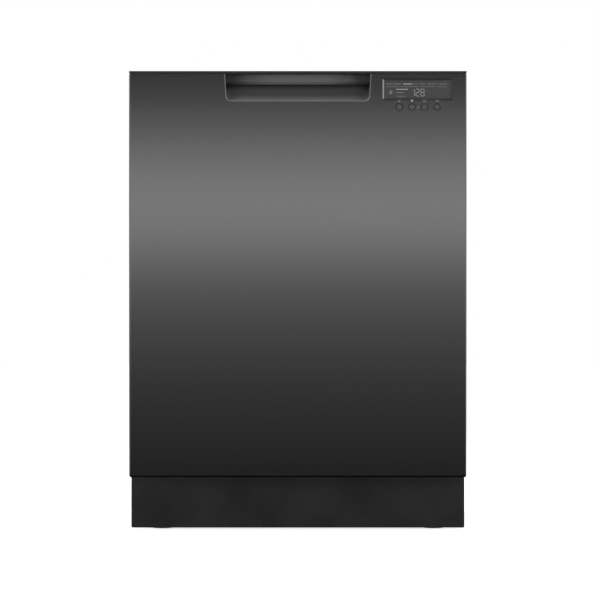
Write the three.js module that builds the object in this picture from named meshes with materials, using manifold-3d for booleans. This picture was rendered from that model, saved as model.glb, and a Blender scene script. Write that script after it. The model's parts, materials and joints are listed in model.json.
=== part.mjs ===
// A built-in dishwasher with a recessed pull and front controls, as an assembly of separate pieces.
// Millimetres. +X is to the right of someone facing the door, +Y runs to the back and +Z is up.
// The origin is on the floor, under the middle of the machine.
import * as THREE from "three";
import { mergeVertices } from "three/addons/utils/BufferGeometryUtils.js";
import Module from "manifold-3d";

const wasm = await Module();
wasm.setup();

// ---------------------------------------------------------------- driving dimensions
const WIDTH = 599; // door, the widest piece
const DEPTH = 575; // door face to the back of the base
const HEIGHT = 820; // floor to the tabs under the worktop, with the feet screwed in
const GAP = 0.3; // between pieces that touch
const SHEET = 1; // stainless steel of the tub and the door liner
const STEEL = 1.5; // brackets and tabs
const PLASTIC = 3; // wall of the moulded base and sump

// Door
const DOOR_BOTTOM = 97;
const DOOR_DROP = 2; // the door's top is this far under the worktop tabs
const DOOR_THICKNESS = 50;
const SKIN = 1.2;
const SKIN_RETURN = 22; // depth of the skin's folded edges
const SKIN_BEND = 4;
const CAP_HEIGHT = 3.5;
const LINER_INSET = 12.5; // the liner is this much narrower than the skin, on each side
const LINER_BULGE = 10; // how far the liner's middle stands into the tub
const BULGE_INSET = 37.5; // from the skin's edge to the bulge
const PAD_THICKNESS = 16;

// Recessed pull
const PULL_TOP_WIDTH = 262;
const PULL_BOTTOM_WIDTH = 257;
const PULL_HEIGHT = 50;
const PULL_DEPTH = 33;
const PULL_RIM = 1.8;
const PULL_CORNER = 8;
const BAR_HEIGHT = 18;
const BAR_THICKNESS = 12;
const BAR_SETBACK = 3;

// Controls
const WINDOW_WIDTH = 116;
const WINDOW_HEIGHT = 32.5;
const WINDOW_TOP = 16.5; // below the door's top
const CONTROLS_FROM_EDGE = 87; // door's right edge to the middle of the window
const BUTTON_COUNT = 4;
const BUTTON_PITCH = 22.4;
const BUTTON_DROP = 64; // door's top to the middle of the buttons
const BUTTON_WELL_RADIUS = 6.5;
const BUTTON_CAP_RADIUS = 5.2;
const BUTTON_TRAVEL = 1.5;
const BOARD_FACE = 14; // behind the door's face

// Detergent dispenser; the cup and the cap are placed from its middle
const DISPENSER_WIDTH = 156;
const DISPENSER_HEIGHT = 96;
const DISPENSER_DEPTH = 27;
const CUP = { x: [-70, -6], z: [-32, 30] };
const RINSE_CAP = { x: 45, z: 4, radius: 17 };

// Door hinge
const HINGE_DEPTH = 38; // behind the door's face
const HINGE_RISE = 22; // above the door's lower edge
const HINGE_PIN_RADIUS = 4;
const HINGE_CLEARANCE = 0.4;
const ARM_THICKNESS = 3;
const ARM_REACH = 190; // up inside the door
const LEVER_BACK = 35; // spring end of the arm, behind the hinge
const LEVER_UP = 12;

// Chassis
const MOUTH_GAP = 1; // closed door to the tub's flange
const SIDE_SPACE = 19.5; // door's edge to the tub's side
const REAR_SPACE = 22; // tub's back to the back of the base
const TUB_BOTTOM = 128;
const TUB_DROP = 12; // tub's top under the worktop tabs
const TUB_CORNER = 25;
const LEDGE_HEIGHT = 11;
const LEDGE_WIDTH = 36;
const FLANGE_WIDTH = 12;
const SEAL_THICKNESS = 10.5;
const BLANKET = 10;
const BLANKET_START = 44; // behind the tub's mouth, clear of the hinge levers
const BASE_FRONT = 21; // behind the tub's mouth
const BASE_CLEARANCE = 16; // base to floor
const TOE_SETBACK = 65; // behind the door's face
const TOE_INSET = 0.5;
const TOE_LIFT = 3;
const TOE_RETURN = 25;

// Feet
const FOOT_RADIUS = 20;
const FOOT_PAD = 9;
const FOOT_STEM_RADIUS = 6;
const FOOT_STEM_TOP = 88;
const FOOT_INSET = 35; // from the tub's side
const FOOT_FRONT = 60; // behind the tub's mouth
const FOOT_BACK = 44; // from the back of the base

// Washing
const SPRAY_RISE = 40; // tub's underside to the lower spray arm's blade
const SPRAY_THICKNESS = 12;
const SPRAY_REACH = 218;
const UPPER_SPRAY_REACH = 196;
const HUB_RADIUS = 14;
const SUMP_RADIUS = 96;
const SUMP_DEPTH = 62; // below the tub's underside
const SUMP_FORWARD = 44; // sump's middle, in front of the spray arm's axis
const FILTER_RADIUS = 36;
const FILTER_FORWARD = 74; // filter, in front of the spray arm's axis
const PUMP_DROP = 54; // tub's underside down to the pumps' pipes
const FEED_WIDTH = 28;
const FEED_THICKNESS = 12;

// Racks
const WIRE = 4.4;
const RACK_SIDE_SPACE = 29; // tub's side to the rack
const RACK_FRONT = 22; // behind the tub's mouth
const RACK_REAR_SPACE = 21;
const LOWER_RACK_RISE = 72; // tub's underside to the lower rack's floor
const RACK_WALL = 118;
const UPPER_RACK_BASE = 482;
const WHEEL_RADIUS = 19;
const WHEEL_WIDTH = 9;
const AXLE_RADIUS = 4;
const RAIL_HEIGHT = 545;
const TINE_HEIGHT = 74;
const TINE_COUNT = 12;
const TINE_MARGIN = 30; // rack's end walls to the rows of tines
const FIXED_TINES_X = 84;
const FOLDING_TINES_X = { left: -168, right: -44 };

// ---------------------------------------------------------------- derived places
const halfWidth = WIDTH / 2;
const sprayZ = TUB_BOTTOM + SPRAY_RISE;
const lowerRackZ = TUB_BOTTOM + LOWER_RACK_RISE;
const pumpZ = TUB_BOTTOM - PUMP_DROP;
const front = -DEPTH / 2;
const doorTop = HEIGHT - DOOR_DROP;
const doorHeight = doorTop - DOOR_BOTTOM;
const mouth = DOOR_THICKNESS + MOUTH_GAP; // door face to the tub's mouth
const tubHalf = halfWidth - SIDE_SPACE;
const tubInner = tubHalf - SHEET;
const tubTop = HEIGHT - TUB_DROP;
const tubDepth = DEPTH - mouth - REAR_SPACE;
const baseBack = DEPTH - mouth;
const baseHalf = tubHalf - 2;
const baseTop = TUB_BOTTOM - GAP;
const baseFloor = BASE_CLEARANCE + PLASTIC + GAP; // what stands in the base stands at this height
const floorTop = TUB_BOTTOM + SHEET;
const ledgeTop = floorTop + LEDGE_HEIGHT;
const sprayY = tubDepth / 2 - 0.5;
const sumpY = sprayY - SUMP_FORWARD;
const filterY = sprayY - FILTER_FORWARD;
const rackHalf = tubInner - RACK_SIDE_SPACE;
const rackBack = tubDepth - SHEET - RACK_REAR_SPACE;
const bulgeHalf = halfWidth - BULGE_INSET;
const linerHalf = halfWidth - LINER_INSET;
const linerBack = DOOR_THICKNESS - 3;
const hingeY = HINGE_DEPTH - mouth; // from the tub's mouth
const hingeZ = DOOR_BOTTOM + HINGE_RISE;
const armInner = linerHalf - SHEET - GAP - ARM_THICKNESS;
const bracketInner = armInner + ARM_THICKNESS + STEEL;

// ---------------------------------------------------------------- materials
const finish = (color, roughness, metalness) =>
  new THREE.MeshStandardMaterial({ color, roughness, metalness });
const finishes = {
  blackSteel: finish(0x4a4a4c, 0.38, 1),
  stainless: finish(0xb9bbbd, 0.32, 1),
  galvanised: finish(0x9b9fa3, 0.5, 1),
  blackPlastic: finish(0x18181a, 0.55, 0),
  darkPlastic: finish(0x3a3a3c, 0.45, 0),
  greyPlastic: finish(0x8d9194, 0.5, 0),
  lens: finish(0x4c4d50, 0.15, 0),
  circuit: finish(0x1d5a3a, 0.6, 0),
  felt: finish(0x35363a, 0.95, 0),
  rubber: finish(0x1f1f21, 0.8, 0),
  coatedWire: finish(0x9fa3a8, 0.45, 0),
};

// ---------------------------------------------------------------- solids
// A closed geometry as a solid that can be joined and cut. Its corners are rounded to a hundredth of a
// millimetre, so that faces meant to lie in one plane really do.
function solid(geometry) {
  const bare = geometry.index ? geometry.toNonIndexed() : geometry.clone();
  bare.deleteAttribute("normal");
  bare.deleteAttribute("uv");
  bare.attributes.position.array.forEach((value, i, all) => {
    all[i] = Math.round(value * 100) / 100;
  });
  const merged = mergeVertices(bare, 1e-4);
  const mesh = new wasm.Mesh({
    numProp: 3,
    vertProperties: new Float32Array(merged.attributes.position.array),
    triVerts: new Uint32Array(merged.index.array),
  });
  return new wasm.Manifold(mesh);
}

const joined = (pieces) => pieces.reduce((whole, piece) => whole.add(piece));

function block(x, y, z) {
  const geometry = new THREE.BoxGeometry(x[1] - x[0], y[1] - y[0], z[1] - z[0]);
  geometry.translate((x[0] + x[1]) / 2, (y[0] + y[1]) / 2, (z[0] + z[1]) / 2);
  return solid(geometry);
}

// A round bar along "x", "y" or "z", from one coordinate to another, through the other two in centre.
function rod(along, span, centre, radius, sides = 16) {
  const geometry = new THREE.CylinderGeometry(radius, radius, span[1] - span[0], sides);
  const middle = (span[0] + span[1]) / 2;
  if (along === "x") geometry.rotateZ(Math.PI / 2).translate(middle, centre[0], centre[1]);
  if (along === "y") geometry.translate(centre[0], middle, centre[1]);
  if (along === "z") geometry.rotateX(Math.PI / 2).translate(centre[0], centre[1], middle);
  return solid(geometry);
}

function extruded(shape, length) {
  return new THREE.ExtrudeGeometry(shape, { depth: length, bevelEnabled: false, curveSegments: 5 });
}

// An outline seen from the front, X across and Z up, run from one depth to another.
const frontOutline = (shape, y) =>
  solid(extruded(shape, y[1] - y[0]).rotateX(Math.PI / 2).translate(0, y[1], 0));

// An outline seen from above.
const planOutline = (shape, z) => solid(extruded(shape, z[1] - z[0]).translate(0, 0, z[0]));

// An outline seen from the side, Y across and Z up, run from one X to another.
function sideOutline(shape, x) {
  const turn = new THREE.Matrix4().set(0, 0, 1, x[0], 1, 0, 0, 0, 0, 1, 0, 0, 0, 0, 0, 1);
  return solid(extruded(shape, x[1] - x[0]).applyMatrix4(turn));
}

const polygon = (points) => new THREE.Shape(points.map(([a, b]) => new THREE.Vector2(a, b)));

function roundedRectangle(x, y, radius) {
  const shape = new THREE.Shape();
  shape.moveTo(x[0] + radius, y[0]);
  shape.lineTo(x[1] - radius, y[0]);
  shape.absarc(x[1] - radius, y[0] + radius, radius, -Math.PI / 2, 0);
  shape.lineTo(x[1], y[1] - radius);
  shape.absarc(x[1] - radius, y[1] - radius, radius, 0, Math.PI / 2);
  shape.lineTo(x[0] + radius, y[1]);
  shape.absarc(x[0] + radius, y[1] - radius, radius, Math.PI / 2, Math.PI);
  shape.lineTo(x[0], y[0] + radius);
  shape.absarc(x[0] + radius, y[0] + radius, radius, Math.PI, Math.PI * 1.5);
  return shape;
}

// A turned solid about the Z axis; the profile is a list of [radius, z] that starts and ends on the axis.
function turned(profile, sides = 20) {
  const points = profile.map(([r, z]) => new THREE.Vector2(r, z));
  return solid(new THREE.LatheGeometry(points, sides).rotateX(Math.PI / 2));
}

const mirrored = (piece) => piece.mirror([1, 0, 0]);
const moved = (piece, x, y, z) => piece.translate([x, y, z]);

function meshOf(name, piece, material) {
  const { numProp, vertProperties, triVerts } = piece.getMesh();
  const positions = new Float32Array((vertProperties.length / numProp) * 3);
  for (let i = 0; i < positions.length / 3; i += 1) {
    positions.set(vertProperties.subarray(i * numProp, i * numProp + 3), i * 3);
  }
  const geometry = new THREE.BufferGeometry();
  geometry.setAttribute("position", new THREE.BufferAttribute(positions, 3));
  geometry.setIndex(new THREE.BufferAttribute(new Uint32Array(triVerts), 1));
  geometry.computeVertexNormals();
  const mesh = new THREE.Mesh(geometry, material);
  mesh.name = name;
  return mesh;
}

// Adds a right-hand piece and its mirror image.
function addPair(group, name, rightPiece, material) {
  group.add(meshOf(`${name}_right`, rightPiece, material));
  group.add(meshOf(`${name}_left`, mirrored(rightPiece), material));
}

// ---------------------------------------------------------------- door
// In the door's group Y is the depth behind the door's face and Z the height above its lower edge.
const skinTop = doorHeight - CAP_HEIGHT - GAP;
const pullBottom = doorHeight - 4 - PULL_HEIGHT;
const windowX = halfWidth - CONTROLS_FROM_EDGE;
const windowTopZ = doorHeight - WINDOW_TOP;
const windowBottomZ = windowTopZ - WINDOW_HEIGHT;
const buttonZ = doorHeight - BUTTON_DROP;
const buttonX = (index) => windowX + 1.2 + (index - (BUTTON_COUNT - 1) / 2) * BUTTON_PITCH;
const latchZ = tubTop + 2 - DOOR_BOTTOM; // middle of the strike's tongue
const dispenserZ = (doorHeight - 50) * 0.445;

// The pull's outline from the front, drawn in or out from its true edge, open past the top of the skin.
function pullOutline(inset, top) {
  const bottomHalf = PULL_BOTTOM_WIDTH / 2 - inset;
  const flare = (PULL_TOP_WIDTH - PULL_BOTTOM_WIDTH) / 2 / PULL_HEIGHT;
  const low = pullBottom + inset;
  const topHalf = bottomHalf + flare * (top - low);
  const corner = PULL_CORNER - inset / 2;
  const shape = new THREE.Shape();
  shape.moveTo(topHalf, top);
  shape.lineTo(-topHalf, top);
  shape.lineTo(-bottomHalf - flare * corner, low + corner);
  shape.quadraticCurveTo(-bottomHalf, low, -bottomHalf + corner, low);
  shape.lineTo(bottomHalf - corner, low);
  shape.quadraticCurveTo(bottomHalf, low, bottomHalf + flare * corner, low + corner);
  return shape;
}

function skinShell() {
  const plan = (inset) => {
    const half = halfWidth - inset;
    const bend = SKIN_BEND - inset * 0.8;
    const shape = new THREE.Shape();
    shape.moveTo(-half, SKIN_RETURN + inset);
    shape.lineTo(-half, inset + bend);
    shape.absarc(-half + bend, inset + bend, bend, Math.PI, Math.PI * 1.5);
    shape.lineTo(half - bend, inset);
    shape.absarc(half - bend, inset + bend, bend, -Math.PI / 2, 0);
    shape.lineTo(half, SKIN_RETURN + inset);
    return shape;
  };
  let skin = planOutline(plan(0), [0, skinTop]).subtract(planOutline(plan(SKIN), [SKIN, skinTop - SKIN]));
  skin = skin.subtract(frontOutline(pullOutline(-GAP, skinTop + 5), [-5, SKIN_RETURN + 5]));
  const windowCut = [windowX - WINDOW_WIDTH / 2 - GAP, windowX + WINDOW_WIDTH / 2 + GAP];
  skin = skin.subtract(block(windowCut, [-5, SKIN + 2], [windowBottomZ - GAP, windowTopZ + GAP]));
  for (let i = 0; i < BUTTON_COUNT; i += 1) {
    skin = skin.subtract(rod("y", [-5, SKIN + 2], [buttonX(i), buttonZ], BUTTON_WELL_RADIUS, 24));
  }
  return skin;
}

function topCap() {
  const back = DOOR_THICKNESS - 4;
  const profile = new THREE.Shape();
  profile.moveTo(0, skinTop + GAP);
  profile.lineTo(back, skinTop + GAP);
  profile.lineTo(back, doorHeight);
  profile.lineTo(2, doorHeight);
  profile.quadraticCurveTo(0, doorHeight, 0, doorHeight - 2);
  return sideOutline(profile, [-halfWidth, halfWidth]);
}

function pullPocket() {
  const top = skinTop - SKIN - GAP;
  const shell = frontOutline(pullOutline(0, top), [0, PULL_DEPTH + PULL_RIM]);
  const cavity = frontOutline(pullOutline(PULL_RIM, top + 5), [-5, PULL_DEPTH]);
  const low = pullBottom + PULL_RIM;
  const rise = 26;
  const scoop = new THREE.Shape();
  scoop.moveTo(0, low - 1);
  scoop.lineTo(0, low);
  scoop.absellipse(0, low + rise, PULL_DEPTH, rise, -Math.PI / 2, 0);
  scoop.lineTo(PULL_DEPTH + 1, low + rise);
  scoop.lineTo(PULL_DEPTH + 1, low - 1);
  const ramp = sideOutline(scoop, [-PULL_TOP_WIDTH, PULL_TOP_WIDTH]);
  return shell.subtract(cavity).add(ramp.intersect(shell));
}

function pullBar() {
  const high = skinTop - SKIN - GAP;
  const low = high - BAR_HEIGHT;
  const profile = new THREE.Shape();
  const back = BAR_SETBACK + BAR_THICKNESS;
  profile.moveTo(BAR_SETBACK + 1.5, high);
  profile.lineTo(BAR_SETBACK, low + 3);
  profile.quadraticCurveTo(BAR_SETBACK, low, BAR_SETBACK + 3, low);
  profile.lineTo(back, low);
  profile.lineTo(back, high);
  const bar = sideOutline(profile, [-PULL_TOP_WIDTH, PULL_TOP_WIDTH]);
  return bar.intersect(frontOutline(pullOutline(PULL_RIM + GAP, high + 1), [0, PULL_DEPTH]));
}

function displayWindow() {
  const x = [windowX - WINDOW_WIDTH / 2, windowX + WINDOW_WIDTH / 2];
  const lens = block(x, [0.2, 3], [windowBottomZ, windowTopZ]);
  const frame = block([x[0] - 4, x[1] + 4], [SKIN + GAP, 5], [windowBottomZ - 3, windowTopZ + 3]);
  return lens.add(frame);
}

function controlBoard() {
  const x = [windowX - WINDOW_WIDTH / 2 - 8, windowX + WINDOW_WIDTH / 2 + 8];
  const board = block(x, [BOARD_FACE, BOARD_FACE + 1.6], [buttonZ - 16, windowTopZ + 4]);
  const display = block([x[0] + 14, x[1] - 14], [6, BOARD_FACE + 0.5], [windowBottomZ + 1, windowTopZ - 1]);
  const relay = block([x[0] + 20, x[0] + 48], [BOARD_FACE + 1, BOARD_FACE + 16], [buttonZ - 8, buttonZ + 14]);
  const chip = block([x[1] - 60, x[1] - 36], [BOARD_FACE + 1, BOARD_FACE + 5], [buttonZ - 6, buttonZ + 18]);
  return joined([board, display, relay, chip]);
}

// A push button, pointing out of the door along -Y.
function pushButton() {
  const flange = BUTTON_WELL_RADIUS + 1.3;
  const stemEnd = BOARD_FACE - BUTTON_TRAVEL - 2 * GAP;
  const flangeFace = SKIN + 0.7;
  const profile = [
    [0, -stemEnd],
    [2.5, -stemEnd],
    [2.5, -flangeFace - 2],
    [flange, -flangeFace - 2],
    [flange, -flangeFace],
    [BUTTON_CAP_RADIUS, -flangeFace],
    [BUTTON_CAP_RADIUS, -0.9],
    [BUTTON_CAP_RADIUS - 0.8, -0.3],
    [0, -0.1],
  ];
  return turned(profile, 20).rotate([90, 0, 0]);
}

function doorLiner() {
  const low = HINGE_RISE + 2;
  const high = doorHeight - CAP_HEIGHT - 1.5;
  const bulgeLow = ledgeTop + 2 - DOOR_BOTTOM;
  const bulgeHigh = tubTop - 21 - DOOR_BOTTOM;
  const face = linerBack + LINER_BULGE;
  const plate = block([-linerHalf, linerHalf], [linerBack - SHEET, linerBack], [low, high]);
  const bulgeOutline = (inset) => {
    const x = widened([-bulgeHalf, bulgeHalf], -inset);
    return roundedRectangle(x, widened([bulgeLow, bulgeHigh], -inset), 18 - inset);
  };
  const bulge = frontOutline(bulgeOutline(0), [linerBack - SHEET, face]);
  const hollow = frontOutline(bulgeOutline(SHEET), [0, face - SHEET]);
  const sideLow = HINGE_RISE + LEVER_UP + 8;
  const side = block([linerHalf - SHEET, linerHalf], [SKIN_RETURN + 1.5, linerBack - 0.5], [sideLow, high]);
  const latchCut = block([-12, 12], [linerBack - 5, linerBack + 1], [latchZ - 3.5, high + 5]);
  const half = DISPENSER_WIDTH / 2 + GAP;
  const height = DISPENSER_HEIGHT / 2 + GAP;
  const hole = block([-half, half], [0, face + 5], widened([dispenserZ, dispenserZ], height));
  const notch = block([armInner - 1.5, WIDTH], [0, face + 5], [0, sideLow]);
  const cuts = joined([hollow, latchCut, hole, notch, mirrored(notch)]);
  return joined([plate.add(bulge).subtract(cuts), side, mirrored(side)]);
}

function doorPad() {
  const half = bulgeHalf - 6;
  const high = windowBottomZ - 40;
  return block([-half, half], [SKIN + GAP, SKIN + GAP + PAD_THICKNESS], [HINGE_RISE + 14, high]);
}

function latchHousing() {
  const y = [PULL_DEPTH + PULL_RIM + GAP, linerBack - SHEET - GAP];
  const body = block([-34, 34], y, [latchZ - 18, skinTop - SKIN - GAP]);
  const slot = block([-14, 14], [y[0] - 1, y[1] + 1], [latchZ - 3, latchZ + 3]);
  const wing = block([-46, 46], [y[1] - 3, y[1]], [latchZ - 18, latchZ - 8]);
  return body.add(wing).subtract(slot);
}

const dispenserFace = linerBack + LINER_BULGE + 1.6;

function dispenserBody() {
  const back = linerBack + LINER_BULGE - DISPENSER_DEPTH;
  const half = DISPENSER_WIDTH / 2;
  const height = DISPENSER_HEIGHT / 2;
  const z = (span) => [dispenserZ + span[0], dispenserZ + span[1]];
  const housing = block([-half, half], [back, dispenserFace - 0.5], z([-height, height]));
  const flangeDepths = [linerBack + LINER_BULGE + GAP, dispenserFace];
  const flange = block([-half - 4, half + 4], flangeDepths, z([-height - 4, height + 4]));
  const cup = block(CUP.x, [back + 2.5, dispenserFace + 5], z(CUP.z));
  const wellCentre = [RINSE_CAP.x, dispenserZ + RINSE_CAP.z];
  const capWell = rod("y", [back + 14, dispenserFace + 5], wellCentre, RINSE_CAP.radius, 24);
  return housing.add(flange).subtract(cup).subtract(capWell);
}

// Hinged along its upper edge on two ears; its own origin is on that axis, at the middle of the cup.
function dispenserLid() {
  const half = (CUP.x[1] - CUP.x[0]) / 2 + 3;
  const drop = CUP.z[1] - CUP.z[0] + 8;
  const plate = block([-half, half], [-1.5, 1.5], [-drop, 0]);
  const barrel = rod("x", [-half, half], [0, 0], 2.2, 12);
  const grip = block([-10, 10], [1, 5], [-drop, -drop + 4]);
  return joined([plate, barrel, grip]);
}

// Quarter-turn cap about its own Y axis, with a grip bar across its face.
function rinseCap() {
  const disc = rod("y", [-9, 1.5], [0, 0], RINSE_CAP.radius - 0.6, 24);
  const grip = block([-12, 12], [1, 6], [-2.5, 2.5]);
  return disc.add(grip);
}

function bottomSeal() {
  const y = [linerBack + GAP, linerBack + 2.6];
  return block([-bulgeHalf, bulgeHalf], y, [HINGE_RISE + 5, ledgeTop - DOOR_BOTTOM]);
}

// Flat steel arm: hinge pin, leaf inside the door, and a lever behind the hinge for the balance spring.
function hingeArm() {
  const leaf = [
    [-6, 0],
    [-6, ARM_REACH],
    [6, ARM_REACH],
    [6, 14],
  ];
  const lever = [
    [LEVER_BACK + 5, LEVER_UP + 5],
    [LEVER_BACK + 5, LEVER_UP - 5],
    [8, -8],
    [-6, -8],
  ];
  const y = (span) => span.map(([a, b]) => [a + HINGE_DEPTH, b + HINGE_RISE]);
  const x = [armInner, armInner + ARM_THICKNESS];
  const plate = sideOutline(polygon(y([...leaf, ...lever]).reverse()), x);
  const pinSpan = [armInner + 1, bracketInner + STEEL * 2 + 1.5];
  const pin = rod("x", pinSpan, [HINGE_DEPTH, HINGE_RISE], HINGE_PIN_RADIUS, 24);
  const springHole = rod("x", [0, WIDTH], [HINGE_DEPTH + LEVER_BACK, HINGE_RISE + LEVER_UP], 2.4, 12);
  return plate.subtract(springHole).add(pin);
}

function buildDoor() {
  const door = new THREE.Group();
  door.position.set(0, front, DOOR_BOTTOM);
  door.add(meshOf("door_skin", skinShell(), finishes.blackSteel));
  door.add(meshOf("door_top_cap", topCap(), finishes.blackPlastic));
  door.add(meshOf("handle_pocket", pullPocket(), finishes.darkPlastic));
  door.add(meshOf("handle_bar", pullBar(), finishes.blackSteel));
  door.add(meshOf("display_window", displayWindow(), finishes.lens));
  door.add(meshOf("control_board", controlBoard(), finishes.circuit));
  for (let i = 0; i < BUTTON_COUNT; i += 1) {
    const button = meshOf(`push_button_${i + 1}`, pushButton(), finishes.blackSteel);
    button.position.set(buttonX(i), 0, buttonZ);
    door.add(button);
  }
  door.add(meshOf("door_liner", doorLiner(), finishes.stainless));
  door.add(meshOf("door_pad", doorPad(), finishes.felt));
  door.add(meshOf("door_latch", latchHousing(), finishes.blackPlastic));
  door.add(meshOf("door_bottom_seal", bottomSeal(), finishes.rubber));
  door.add(meshOf("dispenser_body", dispenserBody(), finishes.greyPlastic));
  const lid = meshOf("dispenser_lid", dispenserLid(), finishes.greyPlastic);
  lid.position.set((CUP.x[0] + CUP.x[1]) / 2, dispenserFace + GAP + 2.2, dispenserZ + CUP.z[1] + 4);
  door.add(lid);
  const cap = meshOf("rinse_aid_cap", rinseCap(), finishes.blackPlastic);
  cap.position.set(RINSE_CAP.x, dispenserFace, dispenserZ + RINSE_CAP.z);
  door.add(cap);
  addPair(door, "hinge_arm", hingeArm(), finishes.galvanised);
  return door;
}

// ---------------------------------------------------------------- chassis
// In the chassis group Y is the depth behind the tub's mouth and Z the height above the floor.

// The tub's outline from the front: two raised ledges for the lower rack's wheels, and round upper corners.
function tubOutline(inset) {
  const half = tubHalf - inset;
  const step = tubHalf - LEDGE_WIDTH - inset;
  const ledge = TUB_BOTTOM + LEDGE_HEIGHT + inset;
  const low = TUB_BOTTOM + inset;
  const high = tubTop - inset;
  const corner = TUB_CORNER - inset;
  const shape = new THREE.Shape();
  shape.moveTo(-step, low);
  shape.lineTo(step, low);
  shape.lineTo(step, ledge);
  shape.lineTo(half, ledge);
  shape.lineTo(half, high - corner);
  shape.absarc(half - corner, high - corner, corner, 0, Math.PI / 2);
  shape.lineTo(-half + corner, high);
  shape.absarc(-half + corner, high - corner, corner, Math.PI / 2, Math.PI);
  shape.lineTo(-half, ledge);
  shape.lineTo(-step, ledge);
  return shape;
}

function tubShell() {
  const shell = frontOutline(tubOutline(0), [0, tubDepth]);
  const hollow = frontOutline(tubOutline(SHEET), [-5, tubDepth - SHEET]);
  const flangeHalf = tubHalf + FLANGE_WIDTH;
  const flange = block([-flangeHalf, flangeHalf], [0, 1.2], [hingeZ + 5, tubTop + 7]);
  const opening = [-tubInner, tubInner];
  const openingOutline = roundedRectangle(opening, [ledgeTop - 0.5, tubTop - SHEET], TUB_CORNER - SHEET);
  const corners = block(opening, [-5, 5], [ledgeTop - 0.5, ledgeTop + TUB_CORNER]);
  const mouthCut = frontOutline(openingOutline, [-5, 5]).add(corners);
  const lever = block([tubHalf + 0.5, flangeHalf + 1], [-5, 5], [0, hingeZ + LEVER_BACK + LEVER_UP + 5]);
  const strike = block([-11, 11], [-5, 5], [tubTop + GAP, tubTop + 4]);
  const sumpHole = rod("z", [TUB_BOTTOM - 5, floorTop + 5], [0, sumpY], SUMP_RADIUS, 40);
  const cut = joined([mouthCut, lever, mirrored(lever), strike]);
  return shell.subtract(hollow).add(flange.subtract(cut)).subtract(sumpHole);
}

function tubSeal() {
  const y = [-MOUTH_GAP - 1.5, 12];
  const ring = frontOutline(tubOutline(SHEET + GAP), y);
  const inside = frontOutline(tubOutline(SHEET + GAP + SEAL_THICKNESS), [y[0] - 5, y[1] + 5]);
  const below = block([-WIDTH, WIDTH], [y[0] - 5, y[1] + 5], [0, ledgeTop + SEAL_THICKNESS + 2]);
  return ring.subtract(inside).subtract(below);
}

function soundBlanket() {
  const outer = [-tubHalf - BLANKET - GAP, tubHalf + BLANKET + GAP];
  const back = tubDepth + GAP + BLANKET - 1;
  const wrap = block(outer, [BLANKET_START, back], [ledgeTop, tubTop + 8]);
  const space = block([-tubHalf - GAP, tubHalf + GAP], [0, tubDepth + GAP], [0, tubTop + GAP]);
  return wrap.subtract(space);
}

// Height that the skin's folded lower edge reaches when the door lies open
const openSkinTop = DOOR_BOTTOM + HINGE_RISE - HINGE_DEPTH + SKIN_RETURN;

function sidePanel() {
  const outer = tubHalf + BLANKET + GAP * 2 + 3;
  const rear = tubDepth + BLANKET + 2;
  const heights = [62, tubTop + 6];
  const outline = polygon([
    [3, heights[1]],
    [3, openSkinTop + 3],
    [BASE_FRONT + 8, openSkinTop + 3],
    [BASE_FRONT + 8, heights[0]],
    [rear, heights[0]],
    [rear, heights[1]],
  ]);
  const sheet = sideOutline(outline, [outer - 1, outer]);
  const rearFold = block([outer - 14, outer], [rear - 1, rear], heights);
  return sheet.add(rearFold);
}

const footX = tubHalf - FOOT_INSET;
const footYs = { front: FOOT_FRONT, rear: baseBack - FOOT_BACK };

const INLET = { x: -190, z: pumpZ, radius: 13 };
const DRAIN = { x: 213, z: pumpZ, radius: 10 };

function basePan() {
  const wall = PLASTIC;
  const y = [BASE_FRONT, baseBack];
  const x = [-baseHalf, baseHalf];
  const outer = block(x, y, [BASE_CLEARANCE, baseTop]);
  const space = block(widened(x, -wall), widened(y, -wall), [BASE_CLEARANCE + wall, baseTop + 5]);
  let pan = outer.subtract(space);
  const bossTop = BASE_CLEARANCE + 46;
  for (const footY of Object.values(footYs)) {
    for (const side of [-1, 1]) {
      const boss = rod("z", [BASE_CLEARANCE, bossTop], [side * footX, footY], FOOT_STEM_RADIUS + 8, 16);
      const hole = rod("z", [0, bossTop + 5], [side * footX, footY], FOOT_STEM_RADIUS + 0.4, 16);
      pan = pan.add(boss).subtract(hole);
    }
  }
  const rearSpan = [y[1] - 10, y[1] + 5];
  const inletHole = rod("y", rearSpan, [INLET.x, INLET.z], INLET.radius + 3, 16);
  const drainHole = rod("y", rearSpan, [DRAIN.x, DRAIN.z], DRAIN.radius + 3, 16);
  return pan.subtract(inletHole).subtract(drainHole);
}

function toeKick() {
  const half = halfWidth - TOE_INSET;
  const y = TOE_SETBACK - mouth;
  const z = [TOE_LIFT, DOOR_BOTTOM - 2];
  const face = block([-half, half], [y, y + 2], z);
  const side = block([half - 2, half], [y, y + TOE_RETURN], z);
  const foot = block([-half, half], [y, y + 12], [z[0], z[0] + 2]);
  const arm = block([190, 214], [y + 1, BASE_FRONT - GAP], [30, 70]);
  return joined([face, side, mirrored(side), foot, arm, mirrored(arm)]);
}

// Tongue that enters the door's latch, on a plate screwed to the top of the tub.
function doorStrike() {
  const plate = block([-24, 24], [1.2 + GAP, 34], [tubTop + GAP, tubTop + 3]);
  const tongue = block([-9, 9], [-14, 10], [tubTop + 0.8, tubTop + 3.2]);
  return plate.add(tongue);
}

// Bent steel tab on the tub's top, with a screw hole up into the worktop.
function worktopTab() {
  const x = [190, 232];
  const foot = block(x, [5, 40], [tubTop + GAP, tubTop + GAP + STEEL]);
  const riser = block(x, [5, 5 + STEEL], [tubTop + GAP, HEIGHT]);
  const tab = block(x, [5, 34], [HEIGHT - STEEL, HEIGHT]);
  const hole = rod("z", [HEIGHT - 5, HEIGHT + 5], [(x[0] + x[1]) / 2, 24], 3, 16);
  return joined([foot, riser, tab]).subtract(hole);
}

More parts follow.
